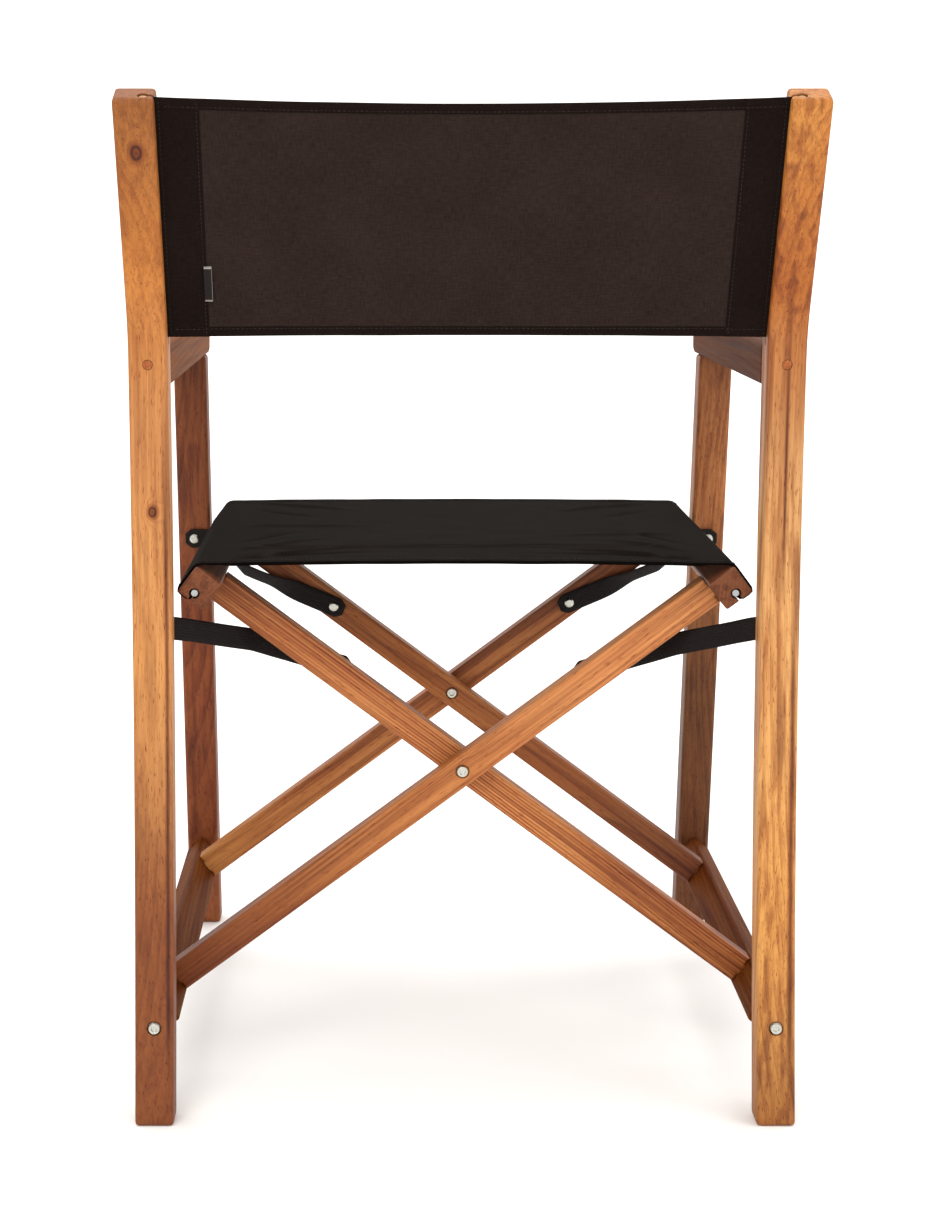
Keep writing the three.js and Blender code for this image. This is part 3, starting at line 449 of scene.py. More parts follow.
def two_layers(us, vs, place, outer, inner, doubled=lambda u, v: 0.0):
    """A closed sheet over us by vs. place(u, v) gives a point of the middle surface and its
    normal; outer and inner give how far each face stands off it."""
    points, cuts, faces = [], [], []
    rows, columns = len(us), len(vs)
    for side, off in ((1, outer), (-1, inner)):
        for u in us:
            for v in vs:
                at, normal = place(u, v)
                points.append(at + normal * (side * off(u, v)))
                cuts.append((u, v, doubled(u, v)))

    def spot(layer, i, j):
        return layer * rows * columns + i * columns + j

    for i in range(rows - 1):
        for j in range(columns - 1):
            faces.append((spot(0, i, j), spot(0, i + 1, j), spot(0, i + 1, j + 1),
                          spot(0, i, j + 1)))
            faces.append((spot(1, i, j), spot(1, i, j + 1), spot(1, i + 1, j + 1),
                          spot(1, i + 1, j)))
    # The rim is rounded by one row that stands a little outside the two faces.
    rim = ([(i, 0) for i in range(rows)] + [(rows - 1, j) for j in range(1, columns)]
           + [(i, columns - 1) for i in range(rows - 2, -1,
                                              -1)] + [(0, j) for j in range(columns - 2, 0, -1)])
    start = len(points)
    for i, j in rim:
        u, v = us[i], vs[j]
        at, _ = place(u, v)
        top, low = points[spot(0, i, j)], points[spot(1, i, j)]
        inner_u, inner_v = us[min(max(i, 1), rows - 2)], vs[min(max(j, 1), columns - 2)]
        inward, _ = place(inner_u, inner_v)
        outward = at - inward
        if outward.length > 0:
            outward = outward.normalized() * RIM_ROUND
        points.append((top + low) / 2 + outward)
        cuts.append((u, v, doubled(u, v)))
    count = len(rim)
    for k in range(count):
        a, b = rim[k], rim[(k + 1) % count]
        m, n = start + k, start + (k + 1) % count
        faces.append((spot(0, *a), m, n, spot(0, *b)))
        faces.append((m, spot(1, *a), spot(1, *b), n))
    return points, cuts, faces


def stitch_run(points, cuts, faces, along, length):
    """Lock stitches laid end to end: each is a small lens of thread that dips into the cloth at
    both ends. along(s) gives its place, direction and normal."""
    pitch, stitch, thick, sides = 3.6 * MM, 2.7 * MM, 0.42 * MM, 5
    for k in range(int(length / pitch)):
        middle = (k + 0.5) * pitch
        at, ahead, normal = along(middle)
        aside = normal.cross(ahead).normalized()
        rings = []
        for share, size, lift in ((-0.5, 0.35, -0.25), (-0.25, 0.9, 0.1),
                                  (0.25, 0.9, 0.1), (0.5, 0.35, -0.25)):
            ring = []
            for q in range(sides):
                angle = 2 * math.pi * q / sides
                ring.append(len(points))
                lean = aside * math.cos(angle) + normal * (math.sin(angle) + lift)
                points.append(at + ahead * (share * stitch) + lean * thick * size)
                cuts.append((middle, 0.0, 0.0))
            rings.append(ring)
        for one, two in zip(rings, rings[1:]):
            for q in range(sides):
                faces.append((one[q], one[(q + 1) % sides], two[(q + 1) % sides], two[q]))
        faces.append(tuple(reversed(rings[0])))
        faces.append(tuple(rings[-1]))


def spread(low, high, step, extra=()):
    """Even stations from low to high, with some exact ones added where the cloth steps."""
    count = max(1, round((high - low) / step))
    found = [low + (high - low) * i / count for i in range(count + 1)]
    for e in extra:
        found = [f for f in found if abs(f - e) > 0.35 * MM or f in (low, high)] + [e]
    return sorted(found)


def wrinkle(u, v, creases):
    """Height of shallow creases. Each runs from one point to another and fades at its ends."""
    height = 0.0
    for (au, av), (bu, bv), wide, tall in creases:
        du, dv = bu - au, bv - av
        long = math.hypot(du, dv)
        t = ((u - au) * du + (v - av) * dv) / long ** 2
        off = ((u - au) * dv - (v - av) * du) / long
        off += 1.6 * MM * math.sin(t * 9 + au * 40)
        height += tall * math.exp(-(off / wide) ** 2) * smooth(t, -0.15,
                                                               0.2) * (1 - smooth(t, 0.6, 1.15))
    return height


def on_frame(u, v, side=1):
    """A point u along the crossed bars and v above their middle line, in X and Z."""
    c, s = math.cos(FRAME_ANGLE), math.sin(FRAME_ANGLE)
    return Vector((side * (u * c - v * s), 0, CROSS_Z + u * s + v * c))


def softened(line):
    """The same line of points with its corners eased once; both ends stay."""
    return ([line[0]] + [(a + b * 2 + c) / 4 for a, b, c in zip(line, line[1:], line[2:])]
            + [line[-1]])


class Way:
    """A path in the X-Z plane, measured by its own length from its middle."""

    def __init__(self, corners, step=1.0 * MM, soften=2):
        dense = []
        for a, b in zip(corners, corners[1:]):
            count = max(1, round((b - a).length / step))
            dense += [a.lerp(b, i / count) for i in range(count)]
        dense.append(corners[-1])
        for _ in range(soften):
            dense = softened(dense)
        self.points = dense
        self.lengths = [0.0]
        for a, b in zip(dense, dense[1:]):
            self.lengths.append(self.lengths[-1] + (b - a).length)
        self.half = self.lengths[-1] / 2

    def at(self, s):
        target = min(max(s + self.half, 0.0), self.lengths[-1])
        low, high = 0, len(self.lengths) - 1
        while high - low > 1:
            mid = (low + high) // 2
            if self.lengths[mid] <= target:
                low = mid
            else:
                high = mid
        gap = self.lengths[high] - self.lengths[low]
        share = (target - self.lengths[low]) / gap if gap else 0
        return self.points[low].lerp(self.points[high], share)

    def ahead(self, s):
        return (self.at(s + 0.8 * MM) - self.at(s - 0.8 * MM)).normalized()


def make_seat_cloth(canvas, thread):
    """The sling seat: canvas that goes over both rails and down their outer faces into the
    keyhole slot, hemmed at the front and the rear."""
    rear_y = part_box("seat_cloth")[1].y - 0.4 * MM
    front_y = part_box("seat_cloth")[0].y + 0.4 * MM
    lift = CLOTH_THICK / 2 + 0.35 * MM
    bore = -6.5 * MM
    reach, half = RAIL_REACH, RAIL_HALF
    corners = [
        on_frame(reach + 1 * MM, bore - 3.4 * MM),
        on_frame(reach + 1 * MM, -half - lift + 0.5 * MM),
        on_frame(reach + 2 * MM, -half - lift),
        on_frame(reach + half + lift - 2 * MM, -half - lift),
        on_frame(reach + half + lift, -half - lift + 2 * MM),
        on_frame(reach + half + lift, half + lift - 2 * MM),
        on_frame(reach + half + lift - 1.2 * MM, half + lift - 0.2 * MM),
    ]
    corners.append(corners[-1] + Vector((-4 * MM, 0, 0.6 * MM)))
    mirrored = [Vector((-p.x, 0, p.z)) for p in reversed(corners)]
    way = Way(corners + mirrored)
    middle_y = (rear_y + front_y) / 2
    deep = rear_y - front_y
    creases = [
        ((-0.215, 0.19), (-0.10, 0.12), 4 * MM, 1.7 * MM),
        ((0.215, 0.19), (0.09, 0.125), 4 * MM, 1.8 * MM),
        ((-0.215, 0.17), (-0.07, 0.15), 3.4 * MM, -1.3 * MM),
        ((0.215, 0.172), (0.06, 0.155), 3.4 * MM, -1.4 * MM),
        ((-0.212, 0.14), (-0.12, 0.06), 5 * MM, 1.3 * MM),
        ((0.212, 0.145), (0.13, 0.07), 5 * MM, 1.4 * MM),
        ((-0.212, 0.1), (-0.15, 0.03), 4 * MM, -1.0 * MM),
        ((0.212, 0.11), (0.15, 0.02), 4 * MM, -1.0 * MM),
        ((-0.2, 0.118), (0.2, 0.108), 2.4 * MM, -1.2 * MM),
        ((-0.2, 0.124), (0.2, 0.114), 2.6 * MM, 0.9 * MM),
        ((-0.21, -0.185), (-0.1, -0.12), 6 * MM, 1.4 * MM),
        ((0.21, -0.185), (0.1, -0.11), 6 * MM, 1.3 * MM),
        ((-0.21, -0.14), (-0.13, -0.06), 5 * MM, -1.0 * MM),
        ((0.21, -0.14), (0.14, -0.06), 5 * MM, -1.0 * MM),
        ((-0.21, -0.02), (-0.08, -0.01), 7 * MM, 1.0 * MM),
        ((0.21, 0.03), (0.09, 0.05), 7 * MM, 1.1 * MM),
    ]

    def place(u, v):
        at = way.at(u)
        ahead = way.ahead(u)
        normal = Vector((-ahead.z, 0, ahead.x)) * -1
        free = 1 - smooth(abs(u), 0.175, 0.212)
        # It is drawn tight over the rails, so it stands a little proud between them.
        span = 1 - (u / SEAT_SPAN_HALF) ** 2
        belly = 1.6 * MM * free * span
        inward = -2.2 * MM * free * span * (2 * v / deep) ** 3
        crease = free * 1.5 * wrinkle(u, v, creases)
        crease += free * 0.35 * MM * noise.noise(Vector((u * 26, v * 34, 2.0)))
        at = Vector((at.x, middle_y + v + inward, at.z)) + normal * (belly + crease)
        return at, normal

    def near_edge(v):
        return deep / 2 - abs(v)

    def hem(v, more):
        inside = near_edge(v)
        if inside < SEAT_HEM:
            seam = math.exp(-((inside - SEAT_SEAM) / (1.1 * MM)) ** 2)
            return more * (1 - 0.55 * seam)
        return 0.0

    us = spread(-way.half, way.half, 3.2 * MM)
    vs = spread(-deep / 2, deep / 2, 4.4 * MM, [s * (deep / 2 - e * MM) for s in (1, -1)
                                                for e in (0.5, 10.2, 11.5, 12.8, 13.9, 14.3)])

    def tucked(u):
        return 1 - 0.3 * smooth(abs(u), way.half - 9 * MM, way.half - 5 * MM)

    points, cuts, faces = two_layers(
        us, vs, place,
        lambda u,
        v: CLOTH_THICK / 2 * tucked(u) + hem(v, 0.25 * MM) * (1 if abs(u) < 0.21 else 0.4),
        lambda u,
        v: CLOTH_THICK / 2 * tucked(u) + hem(v, 1.1 * MM) * (1 - smooth(abs(u), 0.2, 0.212)),
        lambda u, v: 1.0 if near_edge(v) < 13.9 * MM else 0.0)
    cloth_faces = len(faces)
    for side in (1, -1):
        def along(s, side=side):
            u = -SEAT_SEAM_HALF + s
            v = side * (deep / 2 - SEAT_SEAM)
            at, normal = place(u, v)
            ahead = (place(u + 1 * MM, v)[0] - at).normalized()
            return at + normal * (CLOTH_THICK / 2 + 0.1 * MM), ahead, normal
        stitch_run(points, cuts, faces, along, 2 * SEAT_SEAM_HALF)
    slots = [0] * cloth_faces + [1] * (len(faces) - cloth_faces)
    cloth = face_mesh("canvas_seat", points, faces, cuts, slots, [canvas, thread])
    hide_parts("seat_cloth")
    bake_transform(cloth)


def on_back(along, off):
    """A point on the leaning back, along from the bend and off behind the groove's middle."""
    inset = BACK_CLOTH_INSET - off
    return (BEND_Y + along * math.sin(BACK_LEAN) - inset * math.cos(BACK_LEAN) + SHIFT_Y,
            BEND_Z + along * math.cos(BACK_LEAN) + inset * math.sin(BACK_LEAN))


def folded(point, turns):
    """Where a point goes when these joints reach their limits. The last named turns it first."""
    for name, way_round in reversed(turns):
        joint = next(j for j in frame["joints"] if j["name"] == name)
        angle = math.radians(joint["range_deg"][1]) * way_round
        centre = Vector(joint["pos_m"])
        point = centre + Matrix.Rotation(angle, 3, Vector(joint["axis"])) @ (point - centre)
    return point


def flatten_to(piece, joint, anchor, far, far_folded):
    """Works out how far the piece would shorten between its two fixings as the chair folds, and
    where it would go slack if the far fixing swings right round the near one; it only gives the
    piece its own copy of its mesh."""
    anchor, far, far_folded = (Vector((p.x, anchor.y, p.z)) for p in (anchor, far, far_folded))
    axis = (far - far_folded).normalized()
    reach = (far - anchor).dot(axis)
    keep = 1 - (far - far_folded).length / reach if reach > 0 else 0
    if keep < 0.2:
        middle = (anchor + far) / 2
        nearest = middle + (far_folded - middle).normalized() * (far - anchor).length / 2
        axis, keep = (far - nearest).normalized(), 0.2
    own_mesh(piece)


def make_back_cloth(canvas, thread):
    """The back sling: one canvas panel between the posts, a doubled band beside each post, a
    narrow hem at the top and the bottom, and a sleeve round the rod in each groove."""
    normal_out = Vector((0, math.cos(BACK_LEAN), -math.sin(BACK_LEAN)))
    top = BACK_LENGTH - BACK_CLOTH_DROP
    middle = top - BACK_CLOTH_HIGH / 2
    high = BACK_CLOTH_HIGH - 0.8 * MM
    sleeve = 3.75 * MM
    loop = 2 * math.pi * sleeve * 0.9
    reach = BACK_ROD_X - sleeve - 0.6 * MM
    band_in = POST_INNER_X - SIDE_BAND
    upright_seams = (band_in + 2.6 * MM, POST_INNER_X - 3 * MM)
    hem_seam = HEM - 2.2 * MM
    creases = [
        ((-0.2, 0.085), (-0.07, 0.02), 7 * MM, 1.1 * MM),
        ((0.2, 0.085), (0.08, 0.03), 7 * MM, 1.0 * MM),
        ((-0.205, -0.08), (-0.1, -0.03), 6 * MM, 0.8 * MM),
        ((0.205, -0.08), (0.1, -0.04), 6 * MM, 0.9 * MM),
        ((-0.12, -0.095), (0.12, -0.09), 5 * MM, 0.6 * MM),
        ((-0.1, 0.07), (0.13, 0.075), 9 * MM, -0.6 * MM),
    ]

    def place(u, v):
        free = 1 - smooth(abs(u), 0.2, 0.243)
        span = 1 - (u / 0.25) ** 2 if abs(u) < 0.25 else 0.0
        # The long edges sag in towards the middle of the cloth, more at the top.
        edge = 2 * v / high
        slack = -5.0 * MM * span * (max(edge, 0) ** 2) + 2.0 * MM * span * (max(-edge, 0) ** 2)
        belly = 2.4 * MM * span * (1 - 0.4 * edge ** 2)
        uneven = 0.5 * MM * noise.noise(Vector((u * 17, v * 23, 5.0)))
        crease = free * (wrinkle(u, v, creases) + uneven)
        side = 1 if u >= 0 else -1
        if abs(u) <= reach:
            y, z = on_back(middle + v + slack, belly + crease)
            return Vector((u, y, z)), normal_out
        # Round the rod: on from the panel, over the rod's outer side and back.
        angle = (abs(u) - reach) / sleeve
        centre_y, centre_z = on_back(middle + v, 0)
        sideways = BACK_ROD_X - sleeve * math.cos(angle)
        off = sleeve * math.sin(angle)
        at = Vector((side * sideways, centre_y, centre_z)) + normal_out * off
        turned = Vector((-side * math.cos(angle), 0, 0)) + normal_out * math.sin(angle)
        blend = smooth(angle, 0.0, 0.5)
        return at, (normal_out * (1 - blend) + turned * blend).normalized()

    def thick_out(u, v):
        if abs(u) > reach - 1 * MM:
            return 0.42 * MM
        more = 0.0
        inside = high / 2 - abs(v)
        if abs(u) > band_in:
            more = 0.75 * MM
            for seam_at in upright_seams:
                more -= 0.5 * MM * math.exp(-((abs(u) - seam_at) / (1.0 * MM)) ** 2)
        if inside < HEM:
            dip = math.exp(-((inside - hem_seam) / (1.0 * MM)) ** 2)
            more = max(more, 0.0) + 0.7 * MM * (1 - 0.6 * dip)
            more = min(more, 1.25 * MM)
        if abs(u) > POST_INNER_X - 1.0 * MM:
            more = min(more, 0.5 * MM)
        return CLOTH_THICK / 2 + more

    def thick_in(u, v):
        return 0.42 * MM if abs(u) > reach - 1 * MM else CLOTH_THICK / 2

    steps_u = [s * (band_in + e * MM) for s in (1, -1) for e in (-0.4, 0.2, 1.4, 2.6, 3.8)]
    steps_u += [s * (POST_INNER_X + e * MM) for s in (1, -1) for e in (-4.2, -3, -1.8)]
    steps_u += [s * (reach + e * MM) for s in (1, -1)
                for e in (-1.4, -0.6, 0, 1.4, 2.8, 4.2, 5.6, 7, 8.4, 9.8, 11.2, 12.6, 14, 15.4,
                          16.8, 18.2)]
    steps_v = [s * (high / 2 - HEM + e * MM) for s in (1, -1) for e in (-0.3, 0.3, 1.2, 2.2, 3.2)]
    steps_v += [s * (high / 2 - 0.5 * MM) for s in (1, -1)]
    us = spread(-reach - loop, reach + loop, 3.4 * MM, steps_u)
    vs = spread(-high / 2, high / 2, 3.8 * MM, steps_v)
    points, cuts, faces = two_layers(
        us, vs, place, thick_out, thick_in,
        lambda u, v: 1.0 if abs(u) > band_in or high / 2 - abs(v) < HEM else 0.0)
    cloth_faces = len(faces)

    def seam_up(u):
        def along(s):
            v = -high / 2 + 2 * MM + s
            at, normal = place(u, v)
            ahead = (place(u, v + 1 * MM)[0] - at).normalized()
            return at + normal * (thick_out(u, v) + 0.05 * MM), ahead, normal
        return along

    def seam_across(v):
        def along(s):
            u = -upright_seams[1] + s
            at, normal = place(u, v)
            ahead = (place(u + 1 * MM, v)[0] - at).normalized()
            return at + normal * (thick_out(u, v) + 0.05 * MM), ahead, normal
        return along

    for side in (1, -1):
        for u in upright_seams:
            stitch_run(points, cuts, faces, seam_up(side * u), high - 4 * MM)
        stitch_run(points, cuts, faces, seam_across(side * (high / 2 - hem_seam)),
                   2 * upright_seams[1])
    slots = [0] * cloth_faces + [1] * (len(faces) - cloth_faces)
    cloth = face_mesh("canvas_back", points, faces, cuts, slots, [canvas, thread])
    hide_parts("back_cloth")
    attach(cloth, "left_side_frame")
    y, z = on_back(middle, 0)
    left, right = Vector((BACK_ROD_X, y, z)), Vector((-BACK_ROD_X, y, z))
    right_folded = folded(right, [("fold", 1), ("cross", 1), ("right_pivot", 1)])
    flatten_to(cloth, "fold", left, right, right_folded)
    return place, band_in, high, (left, right, right_folded)


def make_care_loop(tape, place, band_in, high, ends):
    """The plain folded tape loop caught in the inner seam of one side band."""
    tall, wide = 30 * MM, 4.4 * MM
    v0 = -0.5 * high + 33 * MM
    profile = []
    for k in range(13):
        angle = -math.pi / 2 + math.pi * k / 12
        profile.append((-wide + 0.9 * MM - 0.9 * MM * math.cos(angle),
                        1.5 * MM + 0.85 * MM * math.sin(angle)))
    profile = [(1.5 * MM, 0.6 * MM)] + profile + [(1.5 * MM, 2.3 * MM)]
    us = list(range(len(profile)))
    vs = spread(0, tall, 3 * MM)

    def lie(k, v):
        du, off = profile[int(k)]
        lean = 1 + 0.25 * math.sin(v / tall * 3.0)
        at, normal = place(band_in + 0.5 * MM, v0 + v)
        return at + Vector((du, 0, 0)) + normal * (CLOTH_THICK / 2 + off * lean), normal

    def stand(k, v):
        at, normal = lie(k, v)
        a = lie(max(k - 1, 0), v)[0]
        b = lie(min(k + 1, len(profile) - 1), v)[0]
        ahead = (b - a).normalized()
        up = (lie(k, v + 1 * MM)[0] - at).normalized()
        return at, ahead.cross(up).normalized()

    points, cuts, faces = two_layers(us, vs, stand, lambda u, v: 0.2 * MM, lambda u, v: 0.2 * MM)
    middle_row = (len(profile) - 1) / 2
    cuts = [(a * 1.2 * MM, b, (a - middle_row) / 5) for a, b, _ in cuts]
    made = face_mesh("care_loop", points, faces, cuts, [0] * len(faces), [tape])
    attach(made, "left_side_frame")
    flatten_to(made, "fold", *ends)


# ---------- webbing straps ----------

def make_strap(where, hand, webbing):
    """A webbing stay with heat-cut, clipped ends: flat on the post, a part twist over the gap,
    then flat along the bar."""
    side = 1 if hand == "left" else -1
    facing = 1 if where == "front" else -1
    lift = WEBBING_THICK / 2 + 0.3 * MM
    tail = STAY_TAIL[where]
    z = STAY_Z[where]
    if where == "front":
        slope = FRONT_POST_SPLAY / FRONT_POST_TOP
        wood_y = FRONT_POST_Y - slope * (FRONT_POST_TOP - z) + POST_DEEP
    else:
        down = (BEND_Z - z) / BEND_Z
        slope = -2 * REAR_LEG_SWEEP * down / BEND_Z
        wood_y = BEND_Y + REAR_LEG_SWEEP * down ** 2 - POST_DEEP
    post = Vector((POST_X, wood_y + facing * lift, z))
    spot = on_frame(STAY_SCREW_UP_BAR, 0)
    screw = Vector((spot.x, BAR_Y[where, hand] + facing * (BAR_HALF + lift), spot.z))
    rise = math.atan2(post.z - screw.z, post.x - screw.x)
    away = FRAME_ANGLE - rise
    to_knee = (14 * MM + WEBBING_HALF * math.cos(away)) / math.sin(away)
    outwards = Vector((math.cos(rise), 0, math.sin(rise)))
    knee = screw + outwards * to_knee
    post_up = Vector((0, slope, 1)).normalized()
    bar_up = Vector((-math.sin(rise), 0, math.cos(rise)))
    off_post = post + Vector((-15.5 * MM, 0, 0))
    stations = [
        (post + Vector((9 * MM, 0, 0)), post_up), (post, post_up), (off_post, post_up),
        (knee, bar_up), (screw, bar_up), (screw - outwards * tail, bar_up),
    ]
    # Even stations along the route, softened so that the tape bends and does not crease.
    line, ups = [], []
    for (a, up_a), (b, up_b) in zip(stations, stations[1:]):
        count = max(1, round((b - a).length / (2.2 * MM)))
        for i in range(count):
            line.append(a.lerp(b, i / count))
            ups.append(up_a.lerp(up_b, i / count).normalized())
    line.append(stations[-1][0])
    ups.append(stations[-1][1])
    for _ in range(5):
        line = softened(line)
    count = len(line) - 1
    lengths = [0.0]
    for a, b in zip(line, line[1:]):
        lengths.append(lengths[-1] + (b - a).length)
    total = lengths[-1]
    points, cuts = [], []
    columns, half_thick = 9, 0.85 * MM
    rings = []
    for i in range(count + 1):
        ahead = (line[min(i + 1, count)] - line[max(i - 1, 0)]).normalized()
        up = (ups[i] - ahead * ups[i].dot(ahead)).normalized()
        run = lengths[i]
        # The tape turns part way on its own axis over the gap, more on the front pair.
        gap = smooth(run, 20 * MM, 48 * MM)
        gap *= 1 - smooth(run, total - tail - 72 * MM, total - tail - 30 * MM)
        up = Matrix.Rotation(gap * STAY_TWIST[where] * facing, 3, ahead) @ up
        normal = ahead.cross(up) * (-facing)
        from_end = min(run, total - run)
        # The ends are clipped at both corners, so that they don't fray.
        wide = WEBBING_HALF * min(1.0, 0.5 + 0.5 * from_end / (6 * MM))
        free = smooth(run, 26 * MM, 44 * MM) * (1 - smooth(run, total - 92 * MM, total - 66 * MM))
        curl = 0.9 * MM * free * math.sin(run * 46 + (0 if hand == "left" else 1.7))
        ring = []
        for layer in (1, -1):
            for j in range(columns):
                share = layer * (2 * j / (columns - 1) - 1)
                round_edge = math.sqrt(max(0.0, 1 - abs(share) ** 9)) * 0.75 + 0.25
                cup = 0.7 * MM * free * (share ** 2 - 0.4)
                ring.append(len(points))
                points.append(line[i] + up * (wide * share)
                              + normal * (layer * half_thick * round_edge + curl + cup))
                cuts.append((run, wide * share, 0.0))
        rings.append(ring)
    if side < 0:
        points = [Vector((-p.x, p.y, p.z)) for p in points]
    points = [p + Vector((0, SHIFT_Y, 0)) for p in points]
    faces = []
    around = 2 * columns
    for one, two in zip(rings, rings[1:]):
        for q in range(around):
            quad = (one[q], one[(q + 1) % around], two[(q + 1) % around], two[q])
            faces.append(quad if side < 0 else tuple(reversed(quad)))
    for ring, start in ((rings[0], True), (rings[-1], False)):
        for j in range(columns - 1):
            quad = (ring[j], ring[j + 1], ring[around - 2 - j], ring[around - 1 - j])
            faces.append(quad if start == (side > 0) else tuple(reversed(quad)))
    made = face_mesh(f"stay_{where}_{hand}", points, faces, cuts, [0] * len(faces), [webbing])
    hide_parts(f"strap_{where}_{hand}")
    far = Vector((side * screw.x, screw.y + SHIFT_Y, screw.z))
    anchor = Vector((side * post.x, post.y + SHIFT_Y, post.z))
    if hand == "left":
        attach(made, "left_side_frame")
        flatten_to(made, "fold", anchor, far, folded(far, [("fold", 1), ("cross", 1)]))
    else:
        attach(made, "right_side_frame")
        flatten_to(made, "right_pivot", anchor, far,
                   folded(far, [("right_pivot", -1), ("cross", -1)]))


# ---------- finishes on the joinery ----------

def finish(node, material):
    for place in frame["nodes"][node].material_slots:
        place.material = material


def finish_the_wood():
    up, deep = (0, 0, 1), (0, 1, 0)
    rising = (math.cos(FRAME_ANGLE), 0, math.sin(FRAME_ANGLE))
    falling = (-math.cos(FRAME_ANGLE), 0, math.sin(FRAME_ANGLE))
    # The rear posts' tones, like the right front post's, darken toward the foot: partly painted
    # shade, where less light reaches low down, partly the wood's own changes of tone.
    finish("rear_post_left", oiled_acacia(
        "oiled_acacia_flame", up, (0.34, 0.19, 0), (0, 0.86),
        ((0.0, "#7c441e"), (0.2, "#8c542b"), (0.45, "#cb9357"), (0.7, "#c68f57"),
         (0.84, "#bd7c38"), (1.0, "#8f5826")),
        seed=1.3, ring=6.5, taper=0.012, rings=0.32, streaks=0.35, mottle=0.35,
        knots=(((0.2655, 0.2745, 0.816), 4.4 * MM), ((0.264, 0.2185, 0.522), 3.2 * MM)),
        stripes=((0.2535, 3 * MM, 0.03, 0.6),)))
    finish("rear_post_right", oiled_acacia(
        "oiled_acacia_streaked", up, (-0.33, 0.21, 0), (0, 0.86),
        ((0.0, "#9a6630"), (0.2, "#d8a45c"), (0.5, "#d6a86e"), (0.68, "#c09260"),
         (0.82, "#ab692a"), (1.0, "#c38742")),
        seed=4.1, ring=5.6, taper=0.01, rings=0.5, streaks=0.7, mottle=0.6,
        stripes=((-0.2775, 4.2 * MM, 0.02, 0.5), (-0.268, 2.4 * MM, 0.45, 0.72))))
    finish("front_post_left", oiled_acacia(
        "oiled_acacia_brown", up, (0.29, -0.16, 0), (0, 0.63),
        ((0.0, "#8c522a"), (0.5, "#864a26"), (1.0, "#7a4522")), seed=7.7, ring=5, streaks=0.6))
    finish("front_post_right", oiled_acacia(
        "oiled_acacia_tan", up, (-0.3, -0.2, 0), (0, 0.63),
        ((0.0, "#6c4222"), (0.45, "#704722"), (0.8, "#b37b49"), (1.0, "#8a5630")), seed=2.9,
        ring=5, streaks=0.6))
    for hand, seed, tint in (("left", 5.2, "#875222"), ("right", 8.8, "#663a16")):
        x = 0.266 if hand == "left" else -0.266
        finish(f"arm_{hand}", oiled_acacia(
            f"oiled_acacia_arm_{hand}", deep, (x * 1.09, 0, 0.6), (-0.24, 0.22),
            ((0.0, tint), (1.0, tint)), seed=seed, ring=4.6, streaks=0.6, gloss=0.02))
    # The inner rear bar was sawn from slow-grown wood: its lines are close, straight and dark.
    slow_grown = {"ring": 2.7, "taper": 0.004, "rings": 1.0, "streaks": 0.6, "fibres": 1.0}
    ordinary = {"ring": 4.4, "taper": 0.02, "rings": 0.6, "streaks": 0.6, "fibres": 0.65}
    for node, grain, heart, seed, wood, tones in (
            ("outer_bar_rear", falling, (0.05, 0.15, 0.35), 3.3,
             {**ordinary, "rings": 0.5, "streaks": 0.35},
             ((0.08, "#7f4720"), (0.45, "#b57742"), (0.85, "#d89a62"))),
            ("inner_bar_rear", rising, (-0.045, 0.13, 0.342), 6.1, slow_grown,
             ((0.0, "#a8713f"), (0.5, "#cd9560"), (1.0, "#ad7346"))),
            ("outer_bar_front", falling, (0.03, -0.22, 0.25), 9.4, ordinary,
             ((0.0, "#b07a42"), (0.5, "#ba7d49"), (1.0, "#875532"))),
            ("inner_bar_front", rising, (-0.02, -0.2, 0.25), 11.2, {**ordinary, "streaks": 0.7},
             ((0.0, "#6c3e21"), (0.35, "#9a6236"), (0.62, "#b17641"), (1.0, "#875532")))):
        finish(node, oiled_acacia("oiled_acacia_" + node, grain, heart, (-0.17, 0.46), tones,
                                  seed=seed, **wood))
    for node, seed in (("inner_seat_rail", 12.5), ("outer_seat_rail", 13.9)):
        finish(node, oiled_acacia("oiled_acacia_" + node, deep, (0.26, 0, 0.5), (-0.22, 0.21),
                                  ((0.0, "#8d5a38"), (1.0, "#7a4a2a")), seed=seed, ring=3.4,
                                  rings=0.7))
    for node, x, seed in (("inner_bottom_rail", -0.25, 15.1), ("outer_bottom_rail", 0.25, 16.7)):
        finish(node, oiled_acacia("oiled_acacia_" + node, deep, (x, 0, 0.04), (-0.25, 0.25),
                                  ((0.0, "#74441f"), (1.0, "#673d1b")), seed=seed, ring=4.4,
                                  rings=0.6, gloss=0.02))
    plug = oiled_acacia("acacia_plug", deep, (0.3, 0, 0.64), (-0.3, 0.3),
                        ((0.0, "#c07c45"), (1.0, "#b6723d")), seed=18.0, ring=2.2, rings=0.8,
                        streaks=0.5)
    hidden = oiled_acacia("beech_dowel", up, (0.3, 0, 0.64), (0, 1),
                          ((0.0, "#d9b48a"), (1.0, "#cfa779")),
                          seed=19.0, ring=2.4, rings=0.3, streaks=0.2)
    for name in frame["nodes"]:
        if name.startswith("arm_screw_plug"):
            finish(name, plug)
        elif name.startswith(("arm_dowel", "back_rod")):
            finish(name, hidden)


def finish_the_metal():
    nickel = plated_metal("nickel_plated_steel", "#d6d6cd", "#98978e", 0.24, 0.35)
    zinc = plated_metal("zinc_plated_steel", "#c9ccce", "#8f9294", 0.38, 0.5)
    brass = plated_metal("zinc_yellow_insert", "#c8b072", "#8c7444", 0.35, 0.4)
    for name in frame["nodes"]:
        if "bolt" in name or name.startswith(("strap_post_screw", "strap_bar_screw")):
            finish(name, nickel)
        elif "insert" in name:
            finish(name, brass)
        elif "washer" in name or "nut" in name or "seat_rod" in name \
                or name.startswith(("arm_screw_left", "arm_screw_right")):
            finish(name, zinc)


# ---------- the room ----------

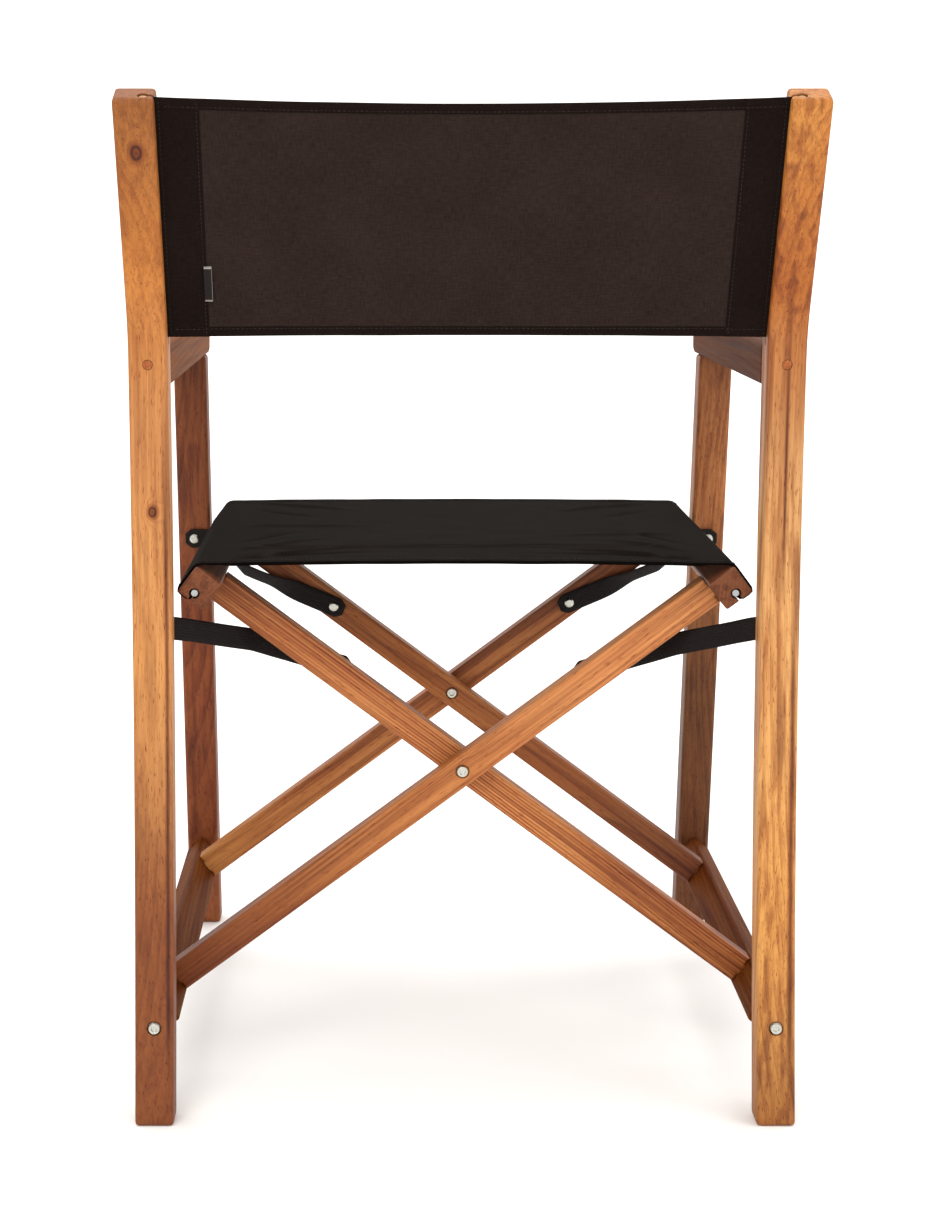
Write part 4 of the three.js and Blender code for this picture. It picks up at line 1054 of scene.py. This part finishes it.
def plain_surface(name, colour):
    """Matt painted board: even, with the faintest roller texture (0.8 mm)."""
    material, tree = new_material(name)
    place = add(tree, "TexCoord").outputs["Object"]
    roll = add(tree, "TexNoise", {"Scale": 1 / (0.8 * MM) / 8, "Detail": 2.0}, {"Vector": place})
    tone = add(tree, "MapRange", {1: 0.0, 2: 1.0, 3: 0.0, 4: 0.04}, {0: roll.outputs[0]})
    mixed = add(tree, "MixRGB", {1: linear(colour), 2: linear("#f1f0ee")}, {0: tone})
    shader = add(tree, "BsdfPrincipled", {"Roughness": 0.95, "Specular IOR Level": 0.1},
                 {"Base Color": mixed})
    finish_material(tree, shader)
    return material


def make_room():
    """A pale floor that curves up into a pale wall behind the chair's front."""
    near_y, bend_y, bend_radius, wall_top, half_wide, steps = 3.6, -2.0, 1.6, 4.2, 4.5, 40
    rows = []
    for k in range(steps):
        t = k / (steps - 1)
        if t < 0.5:
            rows.append((near_y - t * 2 * (near_y - bend_y), 0.0))
        else:
            angle = (t - 0.5) * math.pi
            rows.append((bend_y - bend_radius * math.sin(angle),
                         bend_radius * (1 - math.cos(angle))))
    rows.append((bend_y - bend_radius, wall_top))
    points, faces = [], []
    for y, z in rows:
        points += [(-half_wide, y, z), (half_wide, y, z)]
    for k in range(len(rows) - 1):
        faces.append((2 * k, 2 * k + 1, 2 * k + 3, 2 * k + 2))
    mesh = bpy.data.meshes.new("pale_floor")
    mesh.from_pydata(points, [], faces)
    mesh.polygons.foreach_set("use_smooth", [True] * len(faces))
    mesh.materials.append(plain_surface("matt_white_board", "#fbfaf8"))
    floor = bpy.data.objects.new("pale_floor", mesh)
    bpy.context.scene.collection.objects.link(floor)

    world = bpy.data.worlds.new("soft_room")
    bpy.context.scene.world = world
    world.use_nodes = True
    sky = world.node_tree.nodes["Background"]
    sky.inputs["Color"].default_value = linear("#ffffff")
    sky.inputs["Strength"].default_value = 1.0
    chair, wall = (0, 0, 0.45), (0, -2.6, 0.6)
    for name, where, aim, power, size, colour in (
            ("big_softbox", (0.9, 2.6, 2.5), chair, 46, 1.9, "#fffaf3"),
            ("side_softbox", (-2.4, 1.2, 1.5), chair, 22, 1.6, "#fdfcff"),
            ("wall_wash", (0.0, -1.4, 3.4), wall, 60, 2.6, "#ffffff")):
        light = bpy.data.lights.new(name, "AREA")
        light.energy, light.size, light.color = power, size, linear(colour)[:3]
        lamp = bpy.data.objects.new(name, light)
        bpy.context.scene.collection.objects.link(lamp)
        lamp.location = where
        towards = Vector(aim) - Vector(where)
        lamp.rotation_euler = towards.to_track_quat("-Z", "Y").to_euler()


def make_camera():
    bpy.context.scene.view_settings.view_transform = "Standard"
    camera = bpy.data.cameras.new("camera")
    camera.lens, camera.sensor_width = 64.59, 36
    camera.shift_x, camera.shift_y = 0.07, 0
    eye = bpy.data.objects.new("camera", camera)
    bpy.context.scene.collection.objects.link(eye)
    eye.location = (0.0686, 2.0339, 0.7766)
    eye.rotation_euler = (math.radians(90 - 10.486), 0, math.pi)
    bpy.context.scene.camera = eye


# ---------- the chair ----------

make_camera()
make_room()
finish_the_wood()
finish_the_metal()

back_canvas = cotton_canvas("cotton_canvas_back", "#312623", "#1f1815")
seat_canvas = cotton_canvas("cotton_canvas_seat", "#17120f", "#0e0b09")
thread = sewing_thread("bonded_polyester_thread", "#2e2622", "#171210")
webbing = polypropylene_webbing("polypropylene_webbing")
label_tape = label_tape_satin("satin_label_tape")

make_seat_cloth(seat_canvas, thread)
make_care_loop(label_tape, *make_back_cloth(back_canvas, thread))
for where in ("front", "rear"):
    for hand in ("left", "right"):
        make_strap(where, hand, webbing)
